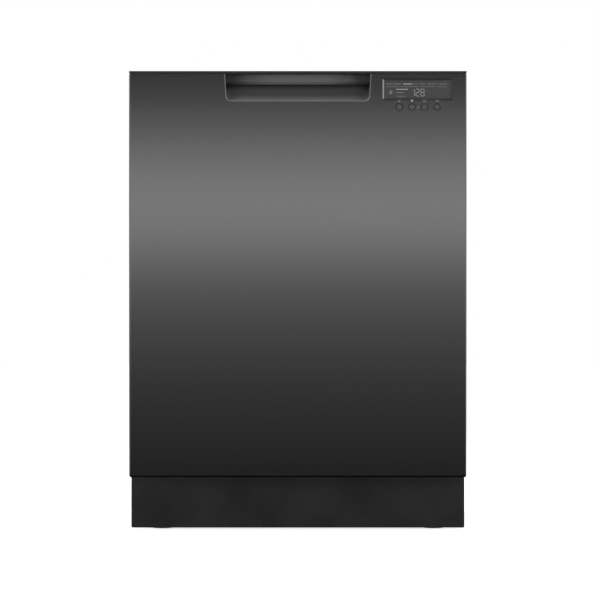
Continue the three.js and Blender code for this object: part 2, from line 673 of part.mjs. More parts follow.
// Steel plate that carries the hinge pin, folded in under the tub and fixed to the base.
function hingeBracket() {
  const x = [bracketInner, bracketInner + STEEL * 2];
  const profile = polygon([
    [hingeY - 11, hingeZ - 10],
    [hingeY + 36, hingeZ - 14],
    [hingeY + 58, hingeZ - 40],
    [hingeY + 110, hingeZ - 40],
    [hingeY + 110, hingeZ - 2],
    [hingeY + 22, hingeZ - 2],
    [hingeY + 11, hingeZ + 10],
    [hingeY - 11, hingeZ + 10],
  ]);
  const plate = sideOutline(profile, x);
  const hole = rod("x", [0, WIDTH], [hingeY, hingeZ], HINGE_PIN_RADIUS + HINGE_CLEARANCE, 24);
  const foldHeights = [hingeZ - 40, hingeZ - 40 + STEEL * 2];
  const fold = block([baseHalf + GAP, x[1]], [hingeY + 60, hingeY + 110], foldHeights);
  return plate.subtract(hole).add(fold);
}

const SPRING_RADIUS = 5;
const SPRING_LENGTH = 190;

// The spring's outer shape: a plain tube of its outer diameter with a hook at each end.
function balanceSpring() {
  const x = armInner + ARM_THICKNESS / 2;
  const hookY = hingeY + LEVER_BACK + 8;
  const z = hingeZ + LEVER_UP;
  const body = rod("y", [hookY + 40, hookY + 40 + SPRING_LENGTH], [x, z], SPRING_RADIUS, 12);
  const link = rod("y", [hookY, hookY + 42], [x, z], 1.6, 8);
  const tail = rod("y", [hookY + 38 + SPRING_LENGTH, hookY + 58 + SPRING_LENGTH], [x, z], 1.6, 8);
  return joined([body, link, tail]);
}

function levellingFoot() {
  const pad = turned([
    [0, 0],
    [FOOT_RADIUS - 1.5, 0],
    [FOOT_RADIUS, 2],
    [FOOT_RADIUS - 3, FOOT_PAD],
    [0, FOOT_PAD],
  ]);
  const nut = rod("z", [FOOT_PAD - 1, FOOT_PAD + 5], [0, 0], 10, 6);
  const stem = rod("z", [FOOT_PAD, FOOT_STEM_TOP], [0, 0], FOOT_STEM_RADIUS, 16);
  return joined([pad, nut, stem]);
}

// ---------------------------------------------------------------- washing system
const sumpLow = SUMP_RADIUS * 0.62;

// The sump's outer form, grown by a clearance where a pipe is cut to meet it.
function sumpBody(clearance) {
  return turned([
    [0, -SUMP_DEPTH - clearance],
    [sumpLow + clearance, -SUMP_DEPTH - clearance],
    [SUMP_RADIUS - 2 + clearance, -14],
    [SUMP_RADIUS + 12, -4 - clearance],
    [SUMP_RADIUS + 12, -GAP],
    [0, -GAP],
  ], 32);
}

// Bowl under the tub's floor, with the upright post that feeds and carries the lower spray arm.
function sumpBowl() {
  const inner = turned([
    [0, -SUMP_DEPTH + PLASTIC],
    [sumpLow - PLASTIC, -SUMP_DEPTH + PLASTIC],
    [SUMP_RADIUS - 5, -12],
    [SUMP_RADIUS - 5, 5],
    [0, 5],
  ], 32);
  const postTop = SPRAY_RISE + 6;
  const post = rod("z", [-SUMP_DEPTH + 1, postTop], [0, SUMP_FORWARD], HUB_RADIUS, 20);
  const bore = rod("z", [-SUMP_DEPTH + 8, postTop + 5], [0, SUMP_FORWARD], HUB_RADIUS - 3, 20);
  return sumpBody(0).subtract(inner).add(post).subtract(bore);
}

// A round pipe whose end is cut to the sump's form.
const pipeToSump = (along, span, centre, radius) =>
  rod(along, span, centre, radius, 16).subtract(moved(sumpBody(GAP), 0, sumpY, TUB_BOTTOM));

function filterPlate() {
  const radius = SUMP_RADIUS - 5.6;
  const plate = rod("z", [-3, -1.6], [0, 0], radius, 40);
  const filterHole = rod("z", [-10, 10], [0, SUMP_FORWARD - FILTER_FORWARD], FILTER_RADIUS + 0.5, 28);
  const postHole = rod("z", [-10, 10], [0, SUMP_FORWARD], HUB_RADIUS + 0.5, 20);
  return plate.subtract(filterHole).subtract(postHole);
}

// Upright filter cylinder with a grip on its rim; turns on its own axis to unlock.
function filterCylinder() {
  const wall = 2;
  const depth = SUMP_DEPTH - 16;
  const outer = turned([
    [0, -depth],
    [FILTER_RADIUS - 6, -depth],
    [FILTER_RADIUS - 1, 4],
    [0, 4],
  ], 24);
  const inner = turned([
    [0, -depth + wall],
    [FILTER_RADIUS - 6 - wall, -depth + wall],
    [FILTER_RADIUS - 1 - wall, 6],
    [0, 6],
  ], 24);
  const grip = block([-FILTER_RADIUS + 2, FILTER_RADIUS - 2], [-2, 2], [-14, 12]);
  return outer.subtract(inner).add(grip);
}

// Blade with two swept wings on a bored hub; its origin is on the axis, at the blade's underside.
// The lower arm sits on its post and the upper one hangs from it.
function sprayArm(reach, postRadius, hangs) {
  const shape = new THREE.Shape();
  shape.moveTo(26, -14);
  shape.quadraticCurveTo(reach * 0.6, -26, reach - 14, -17);
  shape.absarc(reach - 16, -2, 15, -Math.PI / 2, Math.PI / 2);
  shape.quadraticCurveTo(reach * 0.5, 20, 20, 24);
  shape.lineTo(-26, 14);
  shape.quadraticCurveTo(-reach * 0.6, 26, -reach + 14, 17);
  shape.absarc(-reach + 16, 2, 15, Math.PI / 2, Math.PI * 1.5);
  shape.quadraticCurveTo(-reach * 0.5, -20, -20, -24);
  const blade = planOutline(shape, [0, SPRAY_THICKNESS]);
  const hub = rod("z", [-4, SPRAY_THICKNESS + 5], [0, 0], 27, 24);
  const boreSpan = hangs ? [2, SPRAY_THICKNESS + 10] : [-10, SPRAY_THICKNESS - 2];
  const bore = rod("z", boreSpan, [0, 0], postRadius + 0.6, 24);
  return blade.add(hub).subtract(bore);
}

const feedBack = tubDepth - SHEET - GAP;
const manifoldZ = UPPER_RACK_BASE - 13;

// Flat duct from the sump along the floor, up the back wall, ending in a port that faces forward.
function feedTube() {
  const x = [-FEED_WIDTH / 2, FEED_WIDTH / 2];
  const low = floorTop + GAP;
  const floor = block(x, [sprayY + HUB_RADIUS + 1, feedBack], [low, low + FEED_THICKNESS]);
  const riser = block(x, [feedBack - FEED_THICKNESS, feedBack], [low, manifoldZ + 16]);
  const port = rod("y", [feedBack - FEED_THICKNESS - 5, feedBack - 2], [0, manifoldZ], 10, 16);
  return joined([floor, riser, port]);
}

// Motor, volute and the short pipe that meets the sump's side.
function washPump() {
  const motor = rod("x", [64, 172], [sprayY + 120, pumpZ], 40, 20);
  const volute = rod("x", [30, 66], [sprayY + 120, pumpZ], 48, 20);
  const pipe = pipeToSump("y", [sumpY + 40, sprayY + 100], [48, pumpZ + 10], 14);
  const foot = block([90, 150], [sprayY + 95, sprayY + 145], [baseFloor, pumpZ - 14]);
  return joined([motor, volute, pipe, foot]);
}

// Pump and the pipe that runs from it out through the back of the base, ending in a ribbed spigot.
function drainPump() {
  const body = rod("x", [DRAIN.x - 60, DRAIN.x + 14], [sprayY - 20, pumpZ - 18], 26, 16);
  const inlet = pipeToSump("x", [40, DRAIN.x - 58], [sprayY - 20, pumpZ + 2], 9);
  const neck = block([DRAIN.x - 60, DRAIN.x - 44], [sprayY - 28, sprayY - 12], [pumpZ - 14, pumpZ + 10]);
  const elbow = rod("z", [pumpZ - 24, DRAIN.z + DRAIN.radius], [DRAIN.x, sprayY - 20], DRAIN.radius, 16);
  const end = baseBack - 1;
  const pipe = rod("y", [sprayY - 20, end], [DRAIN.x, DRAIN.z], DRAIN.radius, 16);
  const collar = rod("y", [end - 14, end - 9], [DRAIN.x, DRAIN.z], DRAIN.radius + 1.6, 16);
  const foot = block([DRAIN.x - 40, DRAIN.x], [sprayY - 32, sprayY - 8], [baseFloor, pumpZ - 34]);
  return joined([body, inlet, neck, elbow, pipe, collar, foot]);
}

function inletValve() {
  const end = baseBack - 1;
  const body = block([INLET.x - 20, INLET.x + 20], [end - 86, end - 36], [INLET.z - 24, INLET.z + 24]);
  const coil = rod("z", [INLET.z + 20, INLET.z + 44], [INLET.x, end - 66], 14, 16);
  const port = rod("y", [end - 40, end], [INLET.x, INLET.z], INLET.radius, 20);
  const stand = block([INLET.x - 14, INLET.x + 14], [end - 80, end - 42], [baseFloor, INLET.z - 20]);
  return joined([body, coil, port, stand]);
}

// ---------------------------------------------------------------- racks
const spread = (count, low, high) => {
  const step = (high - low) / count;
  return Array.from({ length: count }, (_, i) => low + step * (i + 0.5));
};

// The clear spans that a number of evenly spread wires leave between two edge wires.
function clearSpans(count, low, high) {
  const wires = [low, ...spread(count, low, high), high];
  return wires.slice(1).map((wire, i) => [wires[i] + WIRE / 2, wire - WIRE / 2]);
}

const widened = ([low, high], by) => [low - by, high + by];
const RACK_SPAN = [RACK_FRONT, rackBack];

// An open basket of square wire: a thin box with a window cut between every pair of wires.
function wireBasket(base) {
  const x = [-rackHalf, rackHalf];
  const y = RACK_SPAN;
  const z = [base, base + RACK_WALL];
  const outer = block(widened(x, WIRE / 2), widened(y, WIRE / 2), widened(z, WIRE / 2));
  const space = block(widened(x, -WIRE / 2), widened(y, -WIRE / 2), [base + WIRE / 2, z[1] + 5]);
  const columns = clearSpans(5, ...x);
  const rows = clearSpans(4, ...y);
  const bands = clearSpans(1, ...z);
  const windows = [space];
  for (const column of columns) {
    for (const row of rows) windows.push(block(column, row, widened([base, base], 5)));
    for (const band of bands) windows.push(block(column, widened(y, 5), band));
  }
  for (const row of rows) {
    for (const band of bands) windows.push(block(widened(x, 5), row, band));
  }
  return windows.reduce((basket, window) => basket.subtract(window), outer);
}

// A row of upright tines on one wire along Y, as a single comb; z is the height of the wire's middle.
function tineComb(x, y, z) {
  const half = WIRE / 2;
  const outline = [
    [y[0], z - half],
    [y[1], z - half],
    [y[1], z + half],
  ];
  for (const at of spread(TINE_COUNT, ...y).reverse()) {
    outline.push([at + half, z + half], [at + half, z + TINE_HEIGHT]);
    outline.push([at - half, z + TINE_HEIGHT], [at - half, z + half]);
  }
  outline.push([y[0], z + half]);
  return sideOutline(polygon(outline), [x - half, x + half]);
}

const wheelYs = { front: sprayY - 150, rear: sprayY + 150 };
const axleZ = ledgeTop + GAP + WHEEL_RADIUS;
const wheelX = rackHalf + 3.5;

function lowerRack() {
  let rack = wireBasket(lowerRackZ);
  for (const y of Object.values(wheelYs)) {
    const hangerHeights = [axleZ - 8, lowerRackZ + 4];
    const hanger = block([rackHalf - 1.6, rackHalf + 1.6], [y - 9, y + 9], hangerHeights);
    const axle = rod("x", [rackHalf - 1, wheelX + WHEEL_WIDTH + 1], [y, axleZ], AXLE_RADIUS, 16);
    const carrier = hanger.add(axle);
    rack = rack.add(carrier).add(mirrored(carrier));
  }
  return rack.add(tineComb(FIXED_TINES_X, widened(RACK_SPAN, -TINE_MARGIN), lowerRackZ + WIRE * 0.6));
}

function rackWheel() {
  const wheel = rod("x", [0, WHEEL_WIDTH], [0, 0], WHEEL_RADIUS, 28);
  const bore = rod("x", [-5, WHEEL_WIDTH + 5], [0, 0], AXLE_RADIUS + 0.4, 16);
  return wheel.subtract(bore);
}

// A row of plate tines that turns on its own wire to lie down; its origin is on the wire.
function foldingTines() {
  const half = (rackBack - RACK_FRONT) / 2 - TINE_MARGIN;
  return tineComb(0, [-half, half], 0);
}

const BASKET = { x: [144, 236], depth: 220, height: 112 };

function cutleryBasket() {
  const y = [sprayY - BASKET.depth / 2, sprayY + BASKET.depth / 2];
  const low = lowerRackZ + WIRE / 2 + GAP;
  const wall = 2.4;
  const outer = block(BASKET.x, y, [low, low + BASKET.height]);
  const middle = (y[0] + y[1]) / 2;
  const cells = [];
  for (const span of [[y[0] + wall, middle - wall / 2], [middle + wall / 2, y[1] - wall]]) {
    cells.push(block([BASKET.x[0] + wall, BASKET.x[1] - wall], span, [low + wall, low + BASKET.height + 5]));
  }
  const centre = (BASKET.x[0] + BASKET.x[1]) / 2;
  const handleTop = low + BASKET.height + 40;
  const bow = polygon([
    [y[0] + 0.5, low + 10],
    [y[0] + 6, low + 10],
    [y[0] + 6, handleTop - 6],
    [y[1] - 6, handleTop - 6],
    [y[1] - 6, low + 10],
    [y[1] - 0.5, low + 10],
    [y[1] - 0.5, handleTop],
    [y[0] + 0.5, handleTop],
  ]);
  return outer.subtract(joined(cells)).add(sideOutline(bow, [centre - 3, centre + 3]));
}

const railInner = tubInner - 17;

// Channel on the tub's side, open towards the middle, which the upper rack's slide bar runs in.
function rackRail() {
  const x = [railInner, tubInner - GAP];
  const y = [16, rackBack];
  const z = [RAIL_HEIGHT - 15, RAIL_HEIGHT + 15];
  const outer = block(x, y, z);
  const channel = block([x[0] + 1.5, x[1] - 1.5], [y[0] - 5, y[1] + 5], [z[0] + 1.5, z[1] - 1.5]);
  const mouthCut = block([x[0] - 5, x[0] + 5], [y[0] - 5, y[1] + 5], [z[0] + 7, z[1] - 7]);
  return outer.subtract(channel).subtract(mouthCut);
}

function upperRack() {
  const basket = wireBasket(UPPER_RACK_BASE);
  const slideHeights = [RAIL_HEIGHT - 10, RAIL_HEIGHT + 10];
  const slide = block([railInner + 4, railInner + 12], [RACK_FRONT + 6, rackBack - 16], slideHeights);
  const stubs = [sprayY - 140, sprayY + 140].map((y) =>
    block([rackHalf - 2, railInner + 6], [y - 12, y + 12], [RAIL_HEIGHT - 6, RAIL_HEIGHT + 6]));
  const side = joined([slide, ...stubs]);
  return basket.add(side).add(mirrored(side));
}

// Duct under the upper rack from the feed port to the upper spray arm's post.
function sprayManifold() {
  const high = UPPER_RACK_BASE - WIRE / 2 - GAP;
  const duct = block([-11, 11], [sprayY - 16, rackBack - 3], [manifoldZ - 6, high]);
  const post = rod("z", [manifoldZ - 22, manifoldZ], [0, sprayY], 12, 20);
  const bell = rod("y", [rackBack - 14, rackBack + 0.5], [0, manifoldZ], 9, 16);
  return joined([duct, post, bell]);
}

const SHELF = { reach: 96, length: 360 };
const shelfX = rackHalf - 12;
const shelfZ = UPPER_RACK_BASE + RACK_WALL - 26;

// A fold-up cup shelf reaching to -X from its pivot bar; the origin is on the bar.
function cupShelf() {
  const x = [-SHELF.reach, 0];
  const y = [-SHELF.length / 2, SHELF.length / 2];
  let shelf = block(widened(x, WIRE / 2), widened(y, WIRE / 2), [-WIRE / 2, WIRE / 2]);
  for (const column of clearSpans(1, ...x)) {
    for (const row of clearSpans(4, ...y)) shelf = shelf.subtract(block(column, row, [-WIRE, WIRE]));
  }
  return shelf;
}

// ---------------------------------------------------------------- assembly
function buildChassis() {
  const chassis = new THREE.Group();
  chassis.position.set(0, front + mouth, 0);
  chassis.add(meshOf("tub", tubShell(), finishes.stainless));
  chassis.add(meshOf("tub_seal", tubSeal(), finishes.rubber));
  chassis.add(meshOf("sound_blanket", soundBlanket(), finishes.felt));
  addPair(chassis, "side_panel", sidePanel(), finishes.galvanised);
  chassis.add(meshOf("base_pan", basePan(), finishes.blackPlastic));
  chassis.add(meshOf("toe_kick", toeKick(), finishes.blackPlastic));
  chassis.add(meshOf("door_strike", doorStrike(), finishes.galvanised));
  addPair(chassis, "worktop_tab", worktopTab(), finishes.galvanised);
  addPair(chassis, "hinge_bracket", hingeBracket(), finishes.galvanised);
  addPair(chassis, "balance_spring", balanceSpring(), finishes.galvanised);
  addPair(chassis, "rack_rail", rackRail(), finishes.stainless);
  chassis.add(meshOf("wash_pump", washPump(), finishes.darkPlastic));
  chassis.add(meshOf("drain_pump", drainPump(), finishes.darkPlastic));
  chassis.add(meshOf("inlet_valve", inletValve(), finishes.greyPlastic));
  chassis.add(meshOf("feed_tube", feedTube(), finishes.greyPlastic));
  const sump = new THREE.Group();
  sump.position.set(0, sumpY, TUB_BOTTOM);
  sump.add(meshOf("sump", sumpBowl(), finishes.darkPlastic));
  sump.add(meshOf("filter_plate", filterPlate(), finishes.stainless));
  chassis.add(sump);
  for (const [place, y] of Object.entries(footYs)) {
    for (const [side, sign] of [["left", -1], ["right", 1]]) {
      const foot = meshOf(`foot_${place}_${side}`, levellingFoot(), finishes.blackPlastic);
      foot.position.set(sign * footX, y, 0);
      chassis.add(foot);
    }
  }
  return chassis;
}

function buildInterior() {
  const interior = new THREE.Group();
  interior.position.set(0, front + mouth, 0);
  const filter = meshOf("filter_cylinder", filterCylinder(), finishes.greyPlastic);
  filter.position.set(0, filterY, TUB_BOTTOM);
  interior.add(filter);
  const lowerArm = meshOf("lower_spray_arm", sprayArm(SPRAY_REACH, HUB_RADIUS, false), finishes.greyPlastic);
  lowerArm.position.set(0, sprayY, sprayZ);
  interior.add(lowerArm);
  interior.add(meshOf("lower_rack", lowerRack(), finishes.coatedWire));
  for (const [place, y] of Object.entries(wheelYs)) {
    for (const [side, x] of [["left", -wheelX - WHEEL_WIDTH], ["right", wheelX]]) {
      const wheel = meshOf(`rack_wheel_${place}_${side}`, rackWheel(), finishes.greyPlastic);
      wheel.position.set(x, y, axleZ);
      interior.add(wheel);
    }
  }
  for (const [side, x] of Object.entries(FOLDING_TINES_X)) {
    const row = meshOf(`folding_tines_${side}`, foldingTines(), finishes.coatedWire);
    row.position.set(x, (RACK_FRONT + rackBack) / 2, lowerRackZ + WIRE / 2 + 3.5);
    interior.add(row);
  }
  interior.add(meshOf("cutlery_basket", cutleryBasket(), finishes.greyPlastic));
  interior.add(meshOf("upper_rack", upperRack(), finishes.coatedWire));
  interior.add(meshOf("spray_manifold", sprayManifold(), finishes.greyPlastic));
  const upperArm = meshOf("upper_spray_arm", sprayArm(UPPER_SPRAY_REACH, 12, true), finishes.greyPlastic);
  upperArm.position.set(0, sprayY, manifoldZ - 22 - 4);
  interior.add(upperArm);
  for (const [side, sign] of [["left", -1], ["right", 1]]) {
    const shelf = sign > 0 ? cupShelf() : mirrored(cupShelf());
    const mesh = meshOf(`cup_shelf_${side}`, shelf, finishes.coatedWire);
    mesh.position.set(sign * shelfX, sprayY, shelfZ);
    interior.add(mesh);
  }
  return interior;
}

const dishwasher = new THREE.Group();
dishwasher.add(buildChassis(), buildDoor(), buildInterior());

export default dishwasher;
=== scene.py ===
"""The looks of a built in dishwasher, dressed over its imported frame.

Lengths are in millimetres until a piece is finished, and then in metres.
+X is to the right of someone facing the door, +Y runs to the back and +Z is up.
"""

import json
import logging
import math
from dataclasses import dataclass, field
from enum import Enum
from typing import Callable, Dict, Iterable, List, Optional, Sequence, Tuple, Union

import bmesh
import bpy
from mathutils import Matrix, Vector

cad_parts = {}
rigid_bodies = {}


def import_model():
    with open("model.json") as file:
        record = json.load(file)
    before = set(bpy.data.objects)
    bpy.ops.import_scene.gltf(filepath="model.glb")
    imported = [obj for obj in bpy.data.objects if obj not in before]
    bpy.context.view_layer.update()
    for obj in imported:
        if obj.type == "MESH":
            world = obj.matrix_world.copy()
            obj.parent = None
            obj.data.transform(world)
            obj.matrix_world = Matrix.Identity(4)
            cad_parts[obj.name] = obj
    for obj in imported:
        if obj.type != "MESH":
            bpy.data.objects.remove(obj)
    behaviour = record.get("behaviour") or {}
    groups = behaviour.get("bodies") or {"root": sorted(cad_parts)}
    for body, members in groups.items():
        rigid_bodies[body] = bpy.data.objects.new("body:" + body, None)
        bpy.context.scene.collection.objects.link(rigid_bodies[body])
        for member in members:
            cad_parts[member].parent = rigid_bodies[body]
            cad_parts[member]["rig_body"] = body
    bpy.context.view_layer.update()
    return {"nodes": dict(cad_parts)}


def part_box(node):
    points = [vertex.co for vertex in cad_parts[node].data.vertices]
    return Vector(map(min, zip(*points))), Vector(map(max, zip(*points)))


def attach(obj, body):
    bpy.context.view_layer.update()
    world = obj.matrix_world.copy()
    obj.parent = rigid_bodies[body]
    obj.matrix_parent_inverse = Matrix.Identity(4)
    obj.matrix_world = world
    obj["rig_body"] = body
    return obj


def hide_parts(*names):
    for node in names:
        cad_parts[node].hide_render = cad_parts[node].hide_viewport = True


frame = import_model()

log = logging.getLogger("dishwasher")

Point = Tuple[float, float, float]
Flat = Tuple[float, float]
Colour = Tuple[float, float, float, float]
MM = 0.001
CORNERS = ("front_left", "front_right", "rear_left", "rear_right")


def grey(level: float, tint: float = 0.0) -> Colour:
    """A grey of that linear level, warmer where tint is positive."""
    return (level * (1 + tint), level, level * (1 - tint), 1.0)


def box_mm(node: str) -> Tuple[Vector, Vector]:
    """The box of a frame node, in millimetres."""
    low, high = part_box(node)
    return low / MM, high / MM


def centre_of(low: Sequence[float], high: Sequence[float]) -> Tuple[float, ...]:
    """The middle of a box."""
    return tuple((a + b) / 2 for a, b in zip(low, high))


def spread(start: float, end: float, count: int) -> List[float]:
    """That many numbers, evenly spaced from start to end."""
    return [start + (end - start) * i / (count - 1) for i in range(count)]


def circle(count: int) -> List[Flat]:
    """The cosine and sine of that many even turns."""
    turns = [math.tau * i / count for i in range(count)]
    return [(math.cos(turn), math.sin(turn)) for turn in turns]


# ---------------------------------------------------------------- shader graphs
class Value:
    """A socket that takes part in arithmetic."""

    def __init__(self, graph: "Graph", socket: bpy.types.NodeSocket) -> None:
        """Keeps the socket and the graph that it belongs to."""
        self.graph = graph
        self.socket = socket

    def _math(self, operation: str, first, second) -> "Value":
        """One Math node on two operands, of which either may be a number."""
        return self.graph.node("ShaderNodeMath", {"operation": operation}, {0: first, 1: second})

    def __add__(self, other) -> "Value":
        """self + other"""
        return self._math("ADD", self, other)

    def __radd__(self, other) -> "Value":
        """other + self"""
        return self._math("ADD", other, self)

    def __sub__(self, other) -> "Value":
        """self - other"""
        return self._math("SUBTRACT", self, other)

    def __rsub__(self, other) -> "Value":
        """other - self"""
        return self._math("SUBTRACT", other, self)

    def __mul__(self, other) -> "Value":
        """self * other"""
        return self._math("MULTIPLY", self, other)

    def __rmul__(self, other) -> "Value":
        """other * self"""
        return self._math("MULTIPLY", other, self)


class Graph:
    """The node tree of one material or world."""

    def __init__(self, tree: bpy.types.NodeTree) -> None:
        """Starts on an empty tree."""
        self.tree = tree
        tree.nodes.clear()

    def node(self, kind: str, settings: Optional[dict] = None, inputs: Optional[dict] = None,
             output: Union[int, str] = 0) -> Optional[Value]:
        """Adds a node.

        Args:
            kind: the node's type.
            settings: its properties.
            inputs: numbers, colours or Values, by socket name or index.
            output: the socket that is returned.

        Returns:
            The chosen output as a Value.
        """
        made = self.tree.nodes.new(kind)
        for key, value in (settings or {}).items():
            setattr(made, key, value)
        for key, value in (inputs or {}).items():
            if isinstance(value, Value):
                self.tree.links.new(value.socket, made.inputs[key])
            else:
                made.inputs[key].default_value = value
        return Value(self, made.outputs[output]) if len(made.outputs) else None

    def place(self, stretch: Point = (1, 1, 1)) -> Value:
        """The object coordinates, stretched along each axis."""
        here = self.node("ShaderNodeTexCoord", output="Object")
        return self.node("ShaderNodeMapping", inputs={"Vector": here, "Scale": stretch})

    def noise(self, scale: float, detail: float = 3, stretch: Point = (1, 1, 1)) -> Value:
        """A noise from 0 to 1 in object space."""
        inputs = {"Vector": self.place(stretch), "Scale": scale, "Detail": detail}
        return self.node("ShaderNodeTexNoise", inputs=inputs)

    def mix(self, factor: Union[Value, float], first, second) -> Value:
        """One Mix node between two colours."""
        settings = {"data_type": "RGBA", "blend_type": "MIX"}
        return self.node("ShaderNodeMix", settings, {0: factor, 6: first, 7: second}, 2)

    def ramp(self, value: Value, low: float, high: float) -> Value:
        """0 under low, 1 over high, and smooth between them."""
        settings = {"interpolation_type": "SMOOTHSTEP"}
        inputs = {"Value": value, "From Min": low, "From Max": high, "To Min": 0.0, "To Max": 1.0}
        return self.node("ShaderNodeMapRange", settings, inputs)

    def edges(self, low: float = 0.53, high: float = 0.62) -> Value:
        """1 on outer edges and 0 elsewhere."""
        return self.ramp(self.node("ShaderNodeNewGeometry", output="Pointiness"), low, high)

    def bump(self, height: Value, distance: float, strength: float = 1.0) -> Value:
        """A normal bent by that height, of which 1 is distance metres."""
        inputs = {"Height": height, "Distance": distance, "Strength": strength}
        return self.node("ShaderNodeBump", inputs=inputs)


@dataclass(frozen=True)
class Finish:
    """How a surface looks. Each kind of finish says how its own graph is made."""

    name: str
    colour: Colour
    roughness: float

    def toned(self, factor: float, lift: float = 0.0) -> Colour:
        """The finish's colour times factor, plus lift, and no brighter than white."""
        return tuple(min(1.0, c * factor + lift) for c in self.colour[:3]) + (1.0,)

    def inputs(self, graph: Graph) -> dict:
        """The Principled node's inputs."""
        return {"Base Color": self.colour, "Roughness": self.roughness}

    def material(self) -> bpy.types.Material:
        """The material of this finish, made once."""
        found = bpy.data.materials.get("look_" + self.name)
        if found:
            return found
        made = bpy.data.materials.new("look_" + self.name)
        made.use_nodes = True
        made.diffuse_color = self.colour
        graph = Graph(made.node_tree)
        surface = graph.node("ShaderNodeBsdfPrincipled", inputs=self.inputs(graph))
        graph.node("ShaderNodeOutputMaterial", inputs={"Surface": surface})
        return made


@dataclass(frozen=True)
class Metal(Finish):
    """Sheet metal with a fine grain along one axis, faint smudges and brighter edges."""

    grain: Point = (1, 40, 40)
    wear: float = 0.15
    depth: float = 0.00001
    smudge: float = 0.03
    streaks: float = 0.07
    metallic: float = 1.0

    def inputs(self, graph: Graph) -> dict:
        """Brushed metal: streaked colour, roughness and bump."""
        streak = graph.noise(26, 4, self.grain)
        cloud = graph.noise(3.2, 3)
        dark, light = self.toned(1 - self.streaks), self.toned(1 + self.streaks)
        base = graph.mix(graph.ramp(streak, 0.3, 0.7), dark, light)
        base = graph.mix(graph.edges() * self.wear, base, self.toned(1.6, 0.02))
        rough = (streak - 0.5) * self.smudge + (cloud - 0.5) * self.smudge + self.roughness
        normal = graph.bump(streak, self.depth, 0.5)
        return {"Base Color": base, "Metallic": self.metallic, "Roughness": rough, "Normal": normal}


@dataclass(frozen=True)
class PaintedShadeMetal(Metal):
    """Metal with painted shade: its colour is darkened toward the ends and toward the top or foot of a
    piece, in object space.
    """

    # painted shade toward the ends: where it starts and is full in |x|, and the tone left there
    across: Tuple[float, float, float] = (0.1, 0.2, 1.0)
    # painted shade along the height: where it starts and is full in z, and the tone left there
    upward: Tuple[float, float, float] = (0.1, 0.2, 1.0)

    def inputs(self, graph: Graph) -> dict:
        """The metal's own inputs, with the colour darkened by both falls, as painted shade."""
        made = super().inputs(graph)
        here = graph.node("ShaderNodeSeparateXYZ", inputs={"Vector": graph.place()}, output="X")
        high = graph.node("ShaderNodeSeparateXYZ", inputs={"Vector": graph.place()}, output="Z")
        # painted shade: a darkening toward the ends and one past a height, multiplied into the colour
        wide = graph.ramp(here * here, self.across[0] ** 2, self.across[1] ** 2)
        tall = graph.ramp(high, self.upward[0], self.upward[1])
        tone = (1 - wide * (1 - self.across[2])) * (1 - tall * (1 - self.upward[2]))
        made["Base Color"] = graph.mix(tone, (0, 0, 0, 1), made["Base Color"])
        return made


@dataclass(frozen=True)
class Zinc(Finish):
    """Galvanised steel: large soft crystals of slightly different greys."""

    def inputs(self, graph: Graph) -> dict:
        """Spangles from cells, with a broken roughness."""
        inputs = {"Vector": graph.place(), "Scale": 70}
        cells = graph.node("ShaderNodeTexVoronoi", inputs=inputs, output="Color")
        cloud = graph.noise(9, 4)
        cell = graph.node("ShaderNodeSeparateXYZ", inputs={"Vector": cells}, output="X")
        tone = graph.mix(cell, self.toned(0.84), self.colour)
        tone = graph.mix(graph.ramp(cloud, 0.35, 0.75) * 0.25, tone, grey(0.32))
        tone = graph.mix(graph.edges() * 0.3, tone, grey(0.7))
        rough = (cloud - 0.5) * 0.2 + self.roughness
        return {
            "Base Color": tone,
            "Metallic": 0.45,
            "Roughness": rough,
            "Normal": graph.bump(cloud, 0.00004, 0.4),
        }


@dataclass(frozen=True)
class Moulded(Finish):
    """Moulded plastic or rubber with a fine skin texture and paler edges."""

    texture: float = 900
    depth: float = 0.00003
    coat: float = 0.0
    wear: float = 0.25

    def inputs(self, graph: Graph) -> dict:
        """A near even colour, a fine leathery bump and rubbed edges."""
        cloud = graph.noise(14, 3)
        skin = graph.noise(self.texture, 2)
        base = graph.mix(graph.ramp(cloud, 0.3, 0.7), self.toned(0.86), self.toned(1.1, 0.002))
        base = graph.mix(graph.edges() * self.wear, base, self.toned(1.5, 0.02))
        rough = (cloud - 0.5) * 0.12 + (skin - 0.5) * 0.08 + self.roughness
        return {
            "Base Color": base,
            "Roughness": rough,
            "Coat Weight": self.coat,
            "Normal": graph.bump(skin, self.depth, 0.6),
        }


@dataclass(frozen=True)
class Felt(Finish):
    """Matted fibre: bitumen and cotton blanket, with flecks."""

    def inputs(self, graph: Graph) -> dict:
        """Fibres crossing at two scales, with pale flecks."""
        fibres = graph.noise(420, 5, (1, 1, 3))
        lumps = graph.noise(38, 4)
        fleck = graph.ramp(graph.noise(420, 1), 0.7, 0.8)
        base = graph.mix(graph.ramp(fibres, 0.3, 0.7), self.toned(0.6), self.colour)
        base = graph.mix(fleck * 0.3, base, grey(0.2, 0.04))
        height = fibres * 0.6 + lumps
        return {"Base Color": base, "Roughness": 0.95, "Normal": graph.bump(height, 0.0012, 0.7)}


@dataclass(frozen=True)
class Coated(Finish):
    """Steel wire under a nylon coat: satin, faintly orange-peeled."""

    def inputs(self, graph: Graph) -> dict:
        """An even coat, thinner and darker in places."""
        peel = graph.noise(340, 2)
        cloud = graph.noise(22, 3)
        base = graph.mix(graph.ramp(cloud, 0.35, 0.7), self.toned(0.82), self.colour)
        rough = (peel - 0.5) * 0.15 + self.roughness
        return {"Base Color": base, "Roughness": rough, "Normal": graph.bump(peel, 0.00006, 0.5)}


@dataclass(frozen=True)
class Lens(Finish):
    """A dark glossy window over a display."""

    def inputs(self, graph: Graph) -> dict:
        """Smoked plastic with faint hairlines."""
        hair = graph.noise(60, 4, (30, 30, 1))
        cloud = graph.noise(11, 2)
        base = graph.mix(cloud, self.toned(0.8), self.colour)
        rough = (hair - 0.5) * 0.06 + self.roughness
        return {
            "Base Color": base,
            "Roughness": rough,
            "Coat Weight": (cloud - 0.5) * 0.2 + 0.5,
            "Normal": graph.bump(hair, 0.000004, 0.3),
        }


